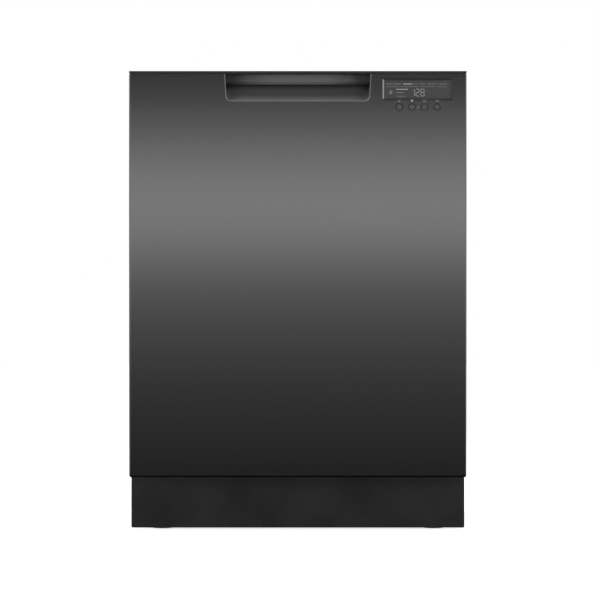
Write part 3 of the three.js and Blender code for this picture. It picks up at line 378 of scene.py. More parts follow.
@dataclass(frozen=True)
class Glow(Finish):
    """A printed or lit mark behind the window."""

    glow: float = 0.0

    def inputs(self, graph: Graph) -> dict:
        """Ink whose tone wanders a little, with a glow of its own."""
        cloud = graph.noise(500, 2)
        base = graph.mix(cloud, self.toned(0.85), self.colour)
        rough = (cloud - 0.5) * 0.1 + self.roughness
        return {
            "Base Color": base,
            "Roughness": rough,
            "Emission Color": base,
            "Emission Strength": self.glow,
        }


@dataclass(frozen=True)
class Board(Finish):
    """A circuit board's lacquer with a grid of tracks."""

    def inputs(self, graph: Graph) -> dict:
        """Tracks as a brick pattern under a glossy lacquer."""
        inputs = {"Vector": graph.place((1, 0, 1)), "Scale": 160}
        cells = graph.node("ShaderNodeTexBrick", inputs=inputs, output="Fac")
        cloud = graph.noise(90, 2)
        base = graph.mix(cells * 0.7, self.colour, self.toned(2.2))
        rough = (cloud - 0.5) * 0.2 + self.roughness
        return {"Base Color": base, "Roughness": rough, "Normal": graph.bump(cells, 0.00005, 0.5)}


class Look(Enum):
    """Every finish on the machine."""

    DOOR = Metal("black_stainless", grey(0.36, 0.004), 0.2, (0.02, 1, 1.6), 0.0, 0.000002, 0.008, 0.012)
    # painted shade: the scoop darkens toward its ends, and to near black under the bar as a painted shadow
    DOOR_PULL = PaintedShadeMetal("pull_metal_painted_shade", grey(0.27, 0.004), 0.5, (0.05, 1, 2.0), 0.1, 0.000003, 0.02, 0.02, 0.5,
                       (0.095, 0.131, 0.5), (0.778, 0.797, 0.08))
    # painted sheen: the bar is bright at its centre and darkens toward its ends, with painted shade along
    # its top
    BAR = PaintedShadeMetal("bar_metal_painted_sheen", grey(0.43, 0.004), 0.34, (0.05, 1, 2.0), 0.0, 0.000003, 0.02, 0.02, 0.9,
                 (0.01, 0.12, 0.26), (0.796, 0.811, 0.8))
    RIM = Metal("rim_metal", grey(0.15), 0.45, (1, 1, 1), 0.2, 0.000002, 0.02, 0.03, 0.2)
    STRIP = Metal("strip_metal", grey(0.3), 0.4, (1, 1, 1), 0.2, 0.000002, 0.02, 0.03, 0.3)
    FRAME = Metal("frame_metal", grey(0.3), 0.42, (1, 1, 1), 0.2, 0.000002, 0.02)
    TUB = Metal("stainless", grey(0.5, 0.008), 0.27, (1, 12, 12), 0.25, 0.000006, 0.05, 0.05, 0.5)
    STEEL = Metal("bright_steel", grey(0.5), 0.3, (2, 2, 30), 0.4, 0.00001, 0.08, 0.05, 0.5)
    ZINC = Zinc("galvanised", grey(0.48, -0.01), 0.42)
    BLACK = Moulded("black_plastic", grey(0.014), 0.5)
    TOE = Moulded("toe_paint", grey(0.018), 0.36, 500, 0.00001)
    DARK = Moulded("dark_plastic", grey(0.032), 0.46)
    CAP = Moulded("button_cap", grey(0.06), 0.34, 700, 0.00001, 0.2)
    GREY = Moulded("grey_plastic", grey(0.33, 0.01), 0.4)
    PALE = Moulded("pale_plastic", grey(0.55, 0.015), 0.38)
    BLUE = Moulded("blue_plastic", (0.05, 0.16, 0.38, 1), 0.36)
    LENS = Lens("display_lens", grey(0.05), 0.2)
    BOARD = Board("circuit", (0.012, 0.07, 0.03, 1), 0.35)
    FELT = Felt("felt", grey(0.06, 0.03), 0.95)
    RUBBER = Moulded("rubber", grey(0.02), 0.62, 600, 0.00006)
    WIRE = Coated("coated_wire", grey(0.42, -0.015), 0.36)
    FLOOR = Glow("floor", grey(0.9), 0.8, 0.95)
    MARK = Glow("mark", grey(0.16), 0.5, 0.0)
    MARK_BRIGHT = Glow("mark_bright", grey(0.3), 0.5, 0.05)
    DIM = Glow("display_dim", grey(0.12), 0.4, 0.02)
    LIT = Glow("display_lit", grey(0.24), 0.4, 0.16)


# ---------------------------------------------------------------- shapes
def rounded(points: Sequence, radius: Union[float, Sequence[float]], closed: bool = True,
            steps: int = 4) -> list:
    """Rounds the corners of a line.

    Args:
        points: its corners, in two or three dimensions.
        radius: how far from each corner the rounding starts, one number or one a corner.
        closed: whether the line returns to its start.
        steps: segments in each rounding.

    Returns:
        The new points.
    """
    made = []
    count = len(points)
    for i, here in enumerate(points):
        size = radius if isinstance(radius, (int, float)) else radius[i]
        if size <= 0 or (not closed and i in (0, count - 1)):
            made.append(tuple(here))
            continue
        here = Vector(here)
        before, after = Vector(points[i - 1]) - here, Vector(points[(i + 1) % count]) - here
        start = here + before.normalized() * min(size, before.length * 0.49)
        end = here + after.normalized() * min(size, after.length * 0.49)
        middle = (start + end) / 2
        reach = here.lerp(middle, 0.14)
        for step in range(steps + 1):
            t = step / steps
            made.append(tuple(start * (1 - t) ** 2 + reach * 2 * t * (1 - t) + end * t**2))
    return made


def rectangle(low: Flat, high: Flat, radius: float = 0, steps: int = 4) -> List[Flat]:
    """A rectangle with rounded corners, anticlockwise from its lower left corner."""
    corners = [low, (high[0], low[1]), high, (low[0], high[1])]
    return rounded(corners, radius, True, steps)


def pane(low: Vector, high: Vector, across: float, upward: float, radius: float,
         steps: int = 4) -> List[Flat]:
    """The rectangle in X and Z of a box, drawn in by across and by upward."""
    inner_low = (low.x + across, low.z + upward)
    return rectangle(inner_low, (high.x - across, high.z - upward), radius, steps)


def upright(outline: Iterable[Flat], y: float) -> List[Point]:
    """An outline in X and Z, stood up at that depth."""
    return [(x, y, z) for x, z in outline]


def flat(outline: Iterable[Flat], z: float) -> List[Point]:
    """An outline in X and Y, laid at that height."""
    return [(x, y, z) for x, y in outline]


def arc(centre: Flat, radius: float, start: float, end: float, steps: int = 8) -> List[Flat]:
    """Points along an arc, in degrees."""
    turn = [math.radians(start + (end - start) * i / steps) for i in range(steps + 1)]
    return [(centre[0] + radius * math.cos(a), centre[1] + radius * math.sin(a)) for a in turn]


def facing(direction: Sequence[float]) -> Matrix:
    """The turn that takes +Z to that direction."""
    return Vector(direction).to_track_quat("Z", "Y").to_matrix().to_4x4()


FLAT_ANGLE = 0.01  # radians under which neighbouring faces become one
MERGE = 0.001  # how close two vertices become one
ROUND = {"profile": 0.5, "affect": "EDGES", "material": -1}


class Shape:
    """A mesh under construction, in millimetres."""

    def __init__(self) -> None:
        """Starts empty; new faces take the finish numbered by self.finish."""
        self.bm = bmesh.new()
        self.finish = 0

    def absorb(self, part: bmesh.types.BMesh, matrix: Optional[Matrix] = None) -> "Shape":
        """Takes in a finished part, moved by matrix, with the current finish."""
        for face in part.faces:
            face.material_index = self.finish
        mesh = bpy.data.meshes.new("part")
        part.to_mesh(mesh)
        part.free()
        if matrix:
            mesh.transform(matrix)
        self.bm.from_mesh(mesh)
        bpy.data.meshes.remove(mesh)
        return self

    def stamp(self, other: "Shape", matrices: Iterable[Matrix]) -> "Shape":
        """Adds a copy of another shape at each matrix, with its own finishes."""
        mesh = bpy.data.meshes.new("stamp")
        other.bm.to_mesh(mesh)
        for matrix in matrices:
            copy = mesh.copy()
            copy.transform(matrix)
            self.bm.from_mesh(copy)
            bpy.data.meshes.remove(copy)
        bpy.data.meshes.remove(mesh)
        return self

    def block(self, low: Sequence[float], high: Sequence[float], bevel: float = 0.6,
              segments: int = 2) -> "Shape":
        """A box with rounded edges."""
        low, high = Vector(low), Vector(high)
        part = bmesh.new()
        size = high - low
        matrix = Matrix.Translation((low + high) / 2) @ Matrix.Diagonal((*size, 1))
        bmesh.ops.create_cube(part, size=1, matrix=matrix)
        if bevel:
            reach = min(bevel, 0.45 * min(size))
            bmesh.ops.bevel(part, geom=part.edges[:], offset=reach, segments=segments, **ROUND)
        return self.absorb(part)

    def rod(self, start: Sequence[float], end: Sequence[float], radius: float, segments: int = 20,
            bevel: float = 0.5) -> "Shape":
        """A round bar from start to end, with rounded rims."""
        start, end = Vector(start), Vector(end)
        part = bmesh.new()
        matrix = Matrix.Translation((start + end) / 2) @ facing(end - start)
        bmesh.ops.create_cone(part, cap_ends=True, segments=segments, radius1=radius, radius2=radius,
                              depth=(end - start).length, matrix=matrix)
        if bevel:
            rims = [e for e in part.edges if any(len(f.verts) > 4 for f in e.link_faces)]
            bmesh.ops.bevel(part, geom=rims, offset=bevel, segments=2, **ROUND)
        return self.absorb(part)

    def turned(self, profile: Sequence[Flat], centre: Sequence[float] = (0, 0, 0),
               axis: Sequence[float] = (0, 0, 1), segments: int = 32) -> "Shape":
        """A profile of (radius, height) turned about an axis.

        The profile closes on itself, or starts and ends on the axis.
        """
        part = bmesh.new()
        verts = [part.verts.new((r, 0, h)) for r, h in profile]
        edges = [part.edges.new(pair) for pair in zip(verts, verts[1:])]
        if profile[0][0] > 1e-6 or profile[-1][0] > 1e-6:
            edges.append(part.edges.new((verts[-1], verts[0])))
        bmesh.ops.spin(part, geom=verts + edges, cent=(0, 0, 0), axis=(0, 0, 1), dvec=(0, 0, 0),
                       angle=math.tau, steps=segments, use_merge=True)
        bmesh.ops.remove_doubles(part, verts=part.verts[:], dist=MERGE)
        return self.absorb(part, Matrix.Translation(centre) @ facing(axis))

    def tube(self, path: Sequence[Point], radius: float, closed: bool = False,
             segments: int = 8) -> "Shape":
        """A round wire along a path."""
        points = [Vector(p) for p in path]
        count = len(points)
        frames = []
        turn = None
        for i, here in enumerate(points):
            before = points[i - 1] if closed or i else here
            after = points[(i + 1) % count] if closed or i < count - 1 else here
            along = (after - before).normalized()
            if turn is None:
                turn = along.to_track_quat("Z", "Y")
            else:
                turn = last.rotation_difference(along) @ turn
            last = along
            frames.append(Matrix.Translation(here) @ turn.to_matrix().to_4x4())
        part = bmesh.new()
        bmesh.ops.create_circle(part, segments=segments, radius=radius, matrix=frames[0])
        first = edges = part.edges[:]
        if not closed:
            bmesh.ops.contextual_create(part, geom=edges)
        for before, after in zip(frames, frames[1:]):
            made = bmesh.ops.extrude_edge_only(part, edges=edges)["geom"]
            verts = [g for g in made if isinstance(g, bmesh.types.BMVert)]
            edges = [g for g in made if isinstance(g, bmesh.types.BMEdge) and g.is_boundary]
            bmesh.ops.transform(part, matrix=after @ before.inverted(), verts=verts)
        if closed:
            bmesh.ops.bridge_loops(part, edges=first + edges)
        else:
            bmesh.ops.contextual_create(part, geom=edges)
        return self.absorb(part)

    def loft(self, loops: Sequence[Sequence[Point]], holes: Sequence[Sequence[Point]] = (),
             start: bool = True, end: bool = True) -> "Shape":
        """A skin through closed loops of equal length; it closes where the last is the first again.

        Args:
            loops: the loops, in order.
            holes: loops left open in the first loop's flat face.
            start: whether the first loop is filled.
            end: whether the last loop is filled.

        Returns:
            The shape itself.
        """
        part = bmesh.new()
        ring = [part.verts.new(p) for p in loops[0]]
        edges = [part.edges.new((a, b)) for a, b in zip(ring, ring[1:] + ring[:1])]
        if start and holes:
            rims = list(edges)
            for hole in holes:
                verts = [part.verts.new(p) for p in hole]
                rims += [part.edges.new((a, b)) for a, b in zip(verts, verts[1:] + verts[:1])]
            bmesh.ops.triangle_fill(part, use_beauty=True, use_dissolve=False, edges=rims)
            bmesh.ops.dissolve_limit(part, angle_limit=FLAT_ANGLE, verts=part.verts[:], edges=part.edges[:])
            ring = [v for v in ring if v.is_valid]
        elif start:
            bmesh.ops.contextual_create(part, geom=edges)
        closing = len(loops) > 2 and loops[0] == loops[-1]
        for loop in loops[1:]:
            order = {tuple(v.co): i for i, v in enumerate(ring)}
            made = bmesh.ops.extrude_edge_only(part, edges=edges)["geom"]
            verts = [g for g in made if isinstance(g, bmesh.types.BMVert)]
            edges = [g for g in made if isinstance(g, bmesh.types.BMEdge) and g.is_boundary]
            ring = sorted(verts, key=lambda v: order[tuple(v.co)])
            for vert, place in zip(ring, loop):
                vert.co = place
        if end:
            bmesh.ops.contextual_create(part, geom=edges)
        if closing:
            bmesh.ops.remove_doubles(part, verts=part.verts[:], dist=MERGE)
        return self.absorb(part)

    def plate(self, outline: Sequence[Point], along: Sequence[float], bevel: float = 0.4,
              holes: Sequence[Sequence[Point]] = ()) -> "Shape":
        """A flat outline with holes, extruded along a vector, with rounded rims."""
        part = bmesh.new()
        for loop in [outline, *holes]:
            verts = [part.verts.new(p) for p in loop]
            for pair in zip(verts, verts[1:] + verts[:1]):
                part.edges.new(pair)
        bmesh.ops.triangle_fill(part, use_beauty=True, use_dissolve=False, edges=part.edges[:])
        bmesh.ops.dissolve_limit(part, angle_limit=FLAT_ANGLE, verts=part.verts[:], edges=part.edges[:])
        made = bmesh.ops.extrude_face_region(part, geom=part.faces[:], use_keep_orig=True)["geom"]
        bmesh.ops.translate(part, vec=along, verts=[g for g in made if isinstance(g, bmesh.types.BMVert)])
        bmesh.ops.recalc_face_normals(part, faces=part.faces[:])
        if bevel:
            part.normal_update()
            rims = [e for e in part.edges if len(e.link_faces) == 2 and e.calc_face_angle(0) > 1]
            bmesh.ops.bevel(part, geom=rims, offset=bevel, segments=2, clamp_overlap=True, **ROUND)
        return self.absorb(part)

    def copied(self, node: str) -> "Shape":
        """A merged copy of a frame node, ready for rounding."""
        part = bmesh.new()
        part.from_mesh(frame["nodes"][node].data)
        bmesh.ops.remove_doubles(part, verts=part.verts[:], dist=1e-6)
        bmesh.ops.dissolve_limit(part, angle_limit=FLAT_ANGLE, verts=part.verts[:], edges=part.edges[:])
        return self.absorb(part, Matrix.Scale(1 / MM, 4))

    def ring(self, loops: Sequence[Sequence[Point]]) -> "Shape":
        """A closed ring whose section runs through those loops and back to the first."""
        return self.loft([*loops, loops[0]], start=False, end=False)


BROAD = 60  # mm2, over which a flat's border can be sharp
BROADER = 6  # how many times larger than its neighbour such a flat is
SAME_PLANE = 0.999995  # cosine over which two faces belong to one flat


def sharpen(bm: bmesh.types.BMesh, limit: float) -> None:
    """Shades faces smooth, and keeps edges over limit, and the borders of broad flats, sharp."""
    bm.normal_update()
    bm.faces.ensure_lookup_table()
    patch, areas = {}, []
    for face in bm.faces:
        face.smooth = True
        if face in patch:
            continue
        stack, total = [face], 0.0
        patch[face] = len(areas)
        while stack:
            here = stack.pop()
            total += here.calc_area()
            for edge in here.edges:
                for other in edge.link_faces:
                    if other not in patch and other.normal.dot(here.normal) > SAME_PLANE:
                        patch[other] = len(areas)
                        stack.append(other)
        areas.append(total)
    for edge in bm.edges:
        if len(edge.link_faces) != 2:
            edge.smooth = False
            continue
        first, second = (patch[f] for f in edge.link_faces)
        small, large = sorted((areas[first], areas[second]))
        even = large < BROAD or large < BROADER * small or first == second
        edge.smooth = edge.calc_face_angle(0) < limit and even


def piece(name: str, shape: Shape, looks: Union[Look, Sequence[Look]], body: str,
          replaces: Sequence[str] = (), wall: float = 0, face: Optional[Sequence[float]] = None,
          bevel: float = 0, segments: int = 2, sharp: float = 34) -> bpy.types.Object:
    """Finishes a shape as an object that rides on a body.

    Args:
        name: the piece's name.
        shape: its mesh, in millimetres.
        looks: its finishes, in the order of the faces' numbers.
        body: the body that carries it.
        replaces: the frame nodes that it stands for.
        wall: thickness given to an open skin, behind its faces.
        face: a direction that the skin's largest face looks in.
        bevel: radius of rounding on the sharp edges.
        segments: steps in that rounding.
        sharp: angle over which an edge is drawn sharp, in degrees.

    Returns:
        The finished object.
    """
    bm = shape.bm
    bmesh.ops.recalc_face_normals(bm, faces=bm.faces[:])
    if face:
        bm.normal_update()
        widest = max(bm.faces, key=lambda f: f.calc_area())
        if widest.normal.dot(Vector(face)) < 0:
            bmesh.ops.reverse_faces(bm, faces=bm.faces[:])
    sharpen(bm, math.radians(sharp))
    bmesh.ops.scale(bm, vec=(MM, MM, MM), verts=bm.verts[:])
    mesh = bpy.data.meshes.new(name)
    bm.to_mesh(mesh)
    bm.free()
    for look in [looks] if isinstance(looks, Look) else looks:
        mesh.materials.append(look.value.material())
    made = bpy.data.objects.new(name, mesh)
    bpy.context.scene.collection.objects.link(made)
    if wall:
        solid = made.modifiers.new("wall", "SOLIDIFY")
        solid.thickness = wall * MM
        solid.offset = -1
    if bevel:
        rounding = made.modifiers.new("rounding", "BEVEL")
        rounding.width = bevel * MM
        rounding.segments = segments
        rounding.limit_method = "ANGLE"
        rounding.angle_limit = math.radians(40)
        rounding.use_clamp_overlap = True
        rounding.harden_normals = True
    if body:
        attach(made, body)
    if replaces:
        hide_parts(*replaces)
    log.info("%s: %d faces on %s", name, len(mesh.polygons), body or "the stage")
    return made


def carried(nodes: Iterable[str], look: Look, bevel: float = 0.4,
            extra: Optional[Dict[str, Callable[[Shape], None]]] = None) -> None:
    """Rounds and dresses copies of frame nodes whose forms are already right.

    Args:
        nodes: the nodes.
        look: their finish.
        bevel: radius of their edges.
        extra: a function by node name that adds detail to the copy.
    """
    for node in nodes:
        shape = Shape().copied(node)
        if extra and node in extra:
            extra[node](shape)
        body = frame["nodes"][node]["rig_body"]
        piece(node + "_shown", shape, look, body, [node], bevel=bevel)


# ---------------------------------------------------------------- the door's front
@dataclass
class Pull:
    """The recessed pull: a pressed scoop with a bar across its top."""

    face: float
    top: float = 812.7
    bottom: float = 763.9
    half_top: float = 130.7
    half_bottom: float = 128.2
    corner: float = 9.5
    depth: float = 33.5
    side_sweep: float = 14
    floor_sweep: float = 25
    rim: float = 1.6
    sunk: float = 0.5
    steps: int = 8
    bow: float = 1.6
    bar_roll: float = 5
    bar_stations: int = 24

    def outline(self, inset: float = 0, lift: float = 0) -> List[Flat]:
        """The mouth's outline, drawn in by inset at its sides and by lift at its floor."""
        low, high = self.bottom + lift, self.top
        bottom, top = self.half_bottom - inset, self.half_top - inset
        corners = [(-bottom, low), (bottom, low), (top, high), (-top, high)]
        return rounded(corners, [self.corner, self.corner, 0.8, 0.8], True, 6)

    def build(self) -> None:
        """Makes the scoop, its rim and the bar."""
        loops = [upright(self.outline(self.rim, self.rim), self.face + self.sunk)]
        for step in range(1, self.steps + 1):
            turn = math.radians(90 * step / self.steps)
            inset = self.rim + self.side_sweep * (1 - math.cos(turn))
            lift = self.rim + self.floor_sweep * (1 - math.cos(turn))
            depth = self.face + self.sunk + self.depth * math.sin(turn)
            loops.append(upright(self.outline(inset, lift), depth))
        scoop = Shape().loft(loops, start=False)
        piece("pull_scoop", scoop, Look.DOOR_PULL, "door", ["handle_pocket"], wall=0.9,
              face=(0, -1, 0), sharp=50)
        section = [(0.1, 1.2), (0.1, 0.3), (0.5, 0.05), (1.1, 0.05), (self.rim, 0.5), (self.rim, 1.2)]
        ring = [upright(self.outline(inset, inset), self.face + depth) for inset, depth in section]
        piece("pull_rim", Shape().ring(ring), Look.RIM, "door")
        self.bar()

    def bar(self) -> None:
        """The finger bar: flat above, rolled under along its lower edge and bowed a little at its ends."""
        low, high = box_mm("handle_bar")
        front, back, bottom, top = low.y, high.y, low.z, high.z
        loops = []
        for i, x in enumerate(spread(low.x, high.x, self.bar_stations + 1)):
            bow = self.bow * abs(2 * i / self.bar_stations - 1) ** 2.5
            under = arc((front + bow + self.bar_roll, bottom + self.bar_roll), self.bar_roll, 180, 270, 6)
            section = [(front + bow + 1.2, top), (front + bow + 0.3, top - 0.8)] + under
            section += [(back - 1.5, bottom), (back, bottom + 1.5), (back, top)]
            loops.append([(x, y, z) for y, z in section])
        piece("pull_bar", Shape().loft(loops), Look.BAR, "door", ["handle_bar"])


@dataclass
class DoorFront:
    """The door's folded skin, its cap and the toe kick under it."""

    bend: float = 3.0
    top_bend: float = 0.45
    corner: float = 3.4
    thickness: float = 1.2
    sunk: float = 0.15
    steps: int = 8
    plugs: int = 5
    toe_bend: float = 1.4
    toe_steps: int = 6
    holes: List[List[Flat]] = field(default_factory=list)

    def build(self) -> None:
        """Makes the three sheets."""
        low, high = box_mm("door_skin")
        loops = []
        corners = pane(low, high, 0, 0, self.corner, 6)
        middle = (low.z + high.z) / 2
        for i in range(self.steps + 1):
            turn = math.radians(90 * i / self.steps)
            side = self.bend * (1 - math.sin(turn))
            upper = self.top_bend * (1 - math.sin(turn))
            loop = []
            for x, z in corners:
                near_top = z > middle
                x_new = x - math.copysign(side, x)
                z_new = z - (upper if near_top else -side)
                bend = self.bend
                if near_top:
                    share = min(1.0, (high.x - abs(x)) / self.corner)
                    bend = self.bend + (self.top_bend - self.bend) * share
                loop.append((x_new, low.y + self.sunk + bend * (1 - math.cos(turn)), z_new))
            loops.append(loop)
        loops.append([(x, high.y, z) for x, z in corners])
        holes = [upright(hole, low.y + self.sunk) for hole in self.holes]
        skin = Shape().loft(loops, holes, end=False)
        piece("door_sheet", skin, Look.DOOR, "door", ["door_skin"], wall=self.thickness,
              face=(0, -1, 0), sharp=40)
        self.cap()
        self.toe()

    def cap(self) -> None:
        """The moulded cap along the door's top, with a row of small plugs."""
        low, high = box_mm("door_top_cap")
        section = rounded([(low.y, low.z), (high.y, low.z), (high.y, high.z - 0.6), (high.y - 4, high.z),
                           (low.y + 0.8, high.z), (low.y, high.z - 0.4)], 0.3, True, 3)
        ends = [low.x, low.x + 0.5, high.x - 0.5, high.x]
        mid_y, mid_z = sum(y for y, _ in section) / len(section), (low.z + high.z) / 2
        loops = []
        for x, size in zip(ends, (0.97, 1, 1, 0.97)):
            loops.append([(x, mid_y + (y - mid_y) * size, mid_z + (z - mid_z) * size) for y, z in section])
        cap = Shape().loft(loops)
        for i in range(self.plugs):
            x = low.x + 70 + i * 115
            cap.rod((x, high.y - 9, high.z - 0.8), (x, high.y - 9, high.z - 0.1), 2.6, 16, 0.2)
        piece("top_cap", cap, Look.BLACK, "door", ["door_top_cap"])

    def toe(self) -> None:
        """The toe kick: a painted sheet folded back on all four sides."""
        low, high = box_mm("toe_kick")
        outline = pane(low, high, 0, 0, 2.2)
        middle = (low.z + high.z) / 2
        loops = []
        for i in range(self.toe_steps + 1):
            turn = math.radians(90 * i / self.toe_steps)
            inset = self.toe_bend * (1 - math.sin(turn))
            y = low.y + self.toe_bend * (1 - math.cos(turn))
            loops.append([(x - math.copysign(inset, x), y, z - math.copysign(inset, z - middle))
                          for x, z in outline])
        loops.append([(x, high.y, z) for x, z in outline])
        kick = Shape().loft(loops, end=False)
        piece("toe_sheet", kick, Look.TOE, "chassis", ["toe_kick"], wall=1.2,
              face=(0, -1, 0), sharp=40)


@dataclass
class Controls:
    """The display, the buttons and the marks beside them."""

    face: float
    buttons: Tuple[float, ...] = (180.1, 202.5, 224.9, 247.3)
    button_z: float = 754
    well: float = 6.6
    cap: float = 5.1
    mark_rise: float = 10.9
    mark_radius: float = 2.5
    mark_inner: float = 1.75
    mark_depth: float = 0.5
    lamp: Flat = (213.6, 753.6)
    digit_size: Flat = (5.6, 12.4)
    digit_foot: float = 773.6
    stroke: float = 0.62

    def holes(self) -> List[List[Flat]]:
        """What is cut from the door's skin for the controls."""
        low, high = box_mm("display_window")
        found = [pane(low, high, -0.2, -0.2, 2.2)]
        for x in self.buttons:
            found.append(arc((x, self.button_z), self.well, 0, 345, 23))
        return found

    def build(self) -> None:
        """Makes the window, the buttons and the marks."""
        self.window()
        for number, x in enumerate(self.buttons, 1):
            self.button(number, x)
        self.wells()
        self.marks()

    def window(self) -> None:
        """The lens in its frame, and what it shows."""
        low, high = box_mm("display_window")
        rows = [(0.0, 4.0), (0.0, 1.8), (0.0, 1.25), (0.35, 0.9)]
        loops = [upright(pane(low, high, 3.2 + inset, 2.6 + inset, 1.6), low.y + depth)
                 for inset, depth in rows]
        piece("display_lens", Shape().loft(loops), Look.LENS, "door")
        section = [(0, 2.4), (0, 0.3), (0.4, 0.0), (2.0, 0.0), (2.8, 0.6), (2.8, 3.4), (0.4, 3.4)]
        ring = [upright(pane(low, high, inset, inset * 0.8, max(0.6, 2.2 - inset * 0.5)), low.y + depth)
                for inset, depth in section]
        piece("display_frame", Shape().ring(ring), Look.FRAME, "door",
              ["display_window"])
        side = Shape().block((low.x - 0.1, low.y - 0.15, low.z + 2.8),
                             (low.x + 2.6, low.y + 0.9, high.z - 1.4), 1.1, 4)
        piece("display_side_strip", side, Look.STRIP, "door")
        self.readout(low.y + 0.85)

    def readout(self, y: float) -> None:
        """Plain dashes and three seven-bar digits, as thin raised bars."""
        dim, lit = Shape(), Shape()
        (wide, tall), foot = self.digit_size, self.digit_foot
        rows = [(dim, 795.0, 1.6, ((156, 167.5), (170, 183), (205.5, 208), (210.5, 213.4), (217, 226),
                                   (230, 247), (251, 264))),
                (lit, 795.0, 1.6, ((186.7, 203.4),)),
                (dim, 790.2, 1.0, ((156, 180), (183, 214), (217, 243), (246, 264))),
                (lit, 785.6, 1.5, ((174.5, 195.2),)),
                (dim, 779.8, 1.3, ((174.5, 188.4),)),
                (dim, 773.2, 1.3, ((175.3, 191.2),))]
        for shape, z, height, spans in rows:
            for start, end in spans:
                shape.block((start, y - 0.12, z - height / 2), (end, y + 0.3, z + height / 2), 0.1, 1)
        dim.block((162.5, y - 0.12, 777), (167.8, y + 0.3, 783.6), 0.8, 2)
        bars = {"a": (0.12, 1.0, 0.88, 1.0), "b": (1.0, 0.55, 1.0, 0.95), "c": (1.0, 0.05, 1.0, 0.45),
                "d": (0.12, 0.0, 0.88, 0.0), "e": (0.0, 0.05, 0.0, 0.45), "f": (0.0, 0.55, 0.0, 0.95),
                "g": (0.12, 0.5, 0.88, 0.5)}
        for x, used in ((201.5, "bc"), (209.8, "abged"), (218.5, "abcdefg")):
            for bar in used:
                x0, z0, x1, z1 = bars[bar]
                start, end = (x + x0 * wide, y, foot + z0 * tall), (x + x1 * wide, y, foot + z1 * tall)
                lit.rod(start, end, self.stroke, 6, 0)
        piece("display_dim", dim, Look.DIM, "door")
        piece("display_lit", lit, Look.LIT, "door")

    def button(self, number: int, x: float) -> None:
        """One dished button on its stem."""
        node = f"push_button_{number}"
        low, high = box_mm(node)
        reach = high.y - low.y
        dish = [(0, 0.9), (2.2, 0.82), (3.6, 0.5), (4.4, 0.08), (4.75, 0.0), (self.cap, 0.3),
                (self.cap, 3.4), (3.0, 3.4), (3.0, reach), (0, reach)]
        shape = Shape().turned(dish, (x, low.y, self.button_z), (0, 1, 0), 32)
        piece(f"button_cap_{number}", shape, Look.CAP, node, [node])

    def wells(self) -> None:
        """The dark sleeves that the buttons sit in."""
        sleeves = Shape()
        ring = [(5.35, 0.4), (5.7, 0.1), (6.3, 0.05), (6.45, 0.4), (6.45, 5.6), (5.35, 5.6)]
        for x in self.buttons:
            sleeves.turned(ring, (x, self.face, self.button_z), (0, 1, 0), 32)
        piece("button_sleeves", sleeves, Look.BLACK, "door")

    def marks(self) -> None:
        """Small plain marks over the buttons, and a lamp between two of them."""
        y = self.face + 0.03
        behind = y + self.mark_depth
        depth = (0, self.mark_depth, 0)
        z = self.button_z + self.mark_rise
        plain, bright = Shape(), Shape()
        for i, x in enumerate(self.buttons):
            if i == 1:
                triangle = [(x - 2.4, y, z + 2.1), (x + 2.4, y, z + 2.1), (x, y, z - 2.4)]
                bright.plate(triangle, depth, 0)
                continue
            ring = upright(arc((x, z), self.mark_radius, 0, 345, 23), y)
            inner = upright(arc((x, z), self.mark_inner, 0, 345, 23), y)
            plain.plate(ring, depth, 0, [inner])
            plain.block((x - 0.4, y, z - 0.3), (x + 0.4, behind, z + 3.4), 0.1, 1)
        for x in (self.buttons[0] - 7.6, self.buttons[3] - 5.6):
            plain.block((x - 1.3, y, self.button_z - 7.6), (x + 1.3, behind, self.button_z - 6.6), 0.2, 1)
        lamp_x, lamp_z = self.lamp
        bright.rod((lamp_x, behind, lamp_z), (lamp_x, y, lamp_z), 0.95, 12, 0.2)
        piece("control_marks", plain, Look.MARK, "door")
        piece("control_marks_bright", bright, Look.MARK_BRIGHT, "door")


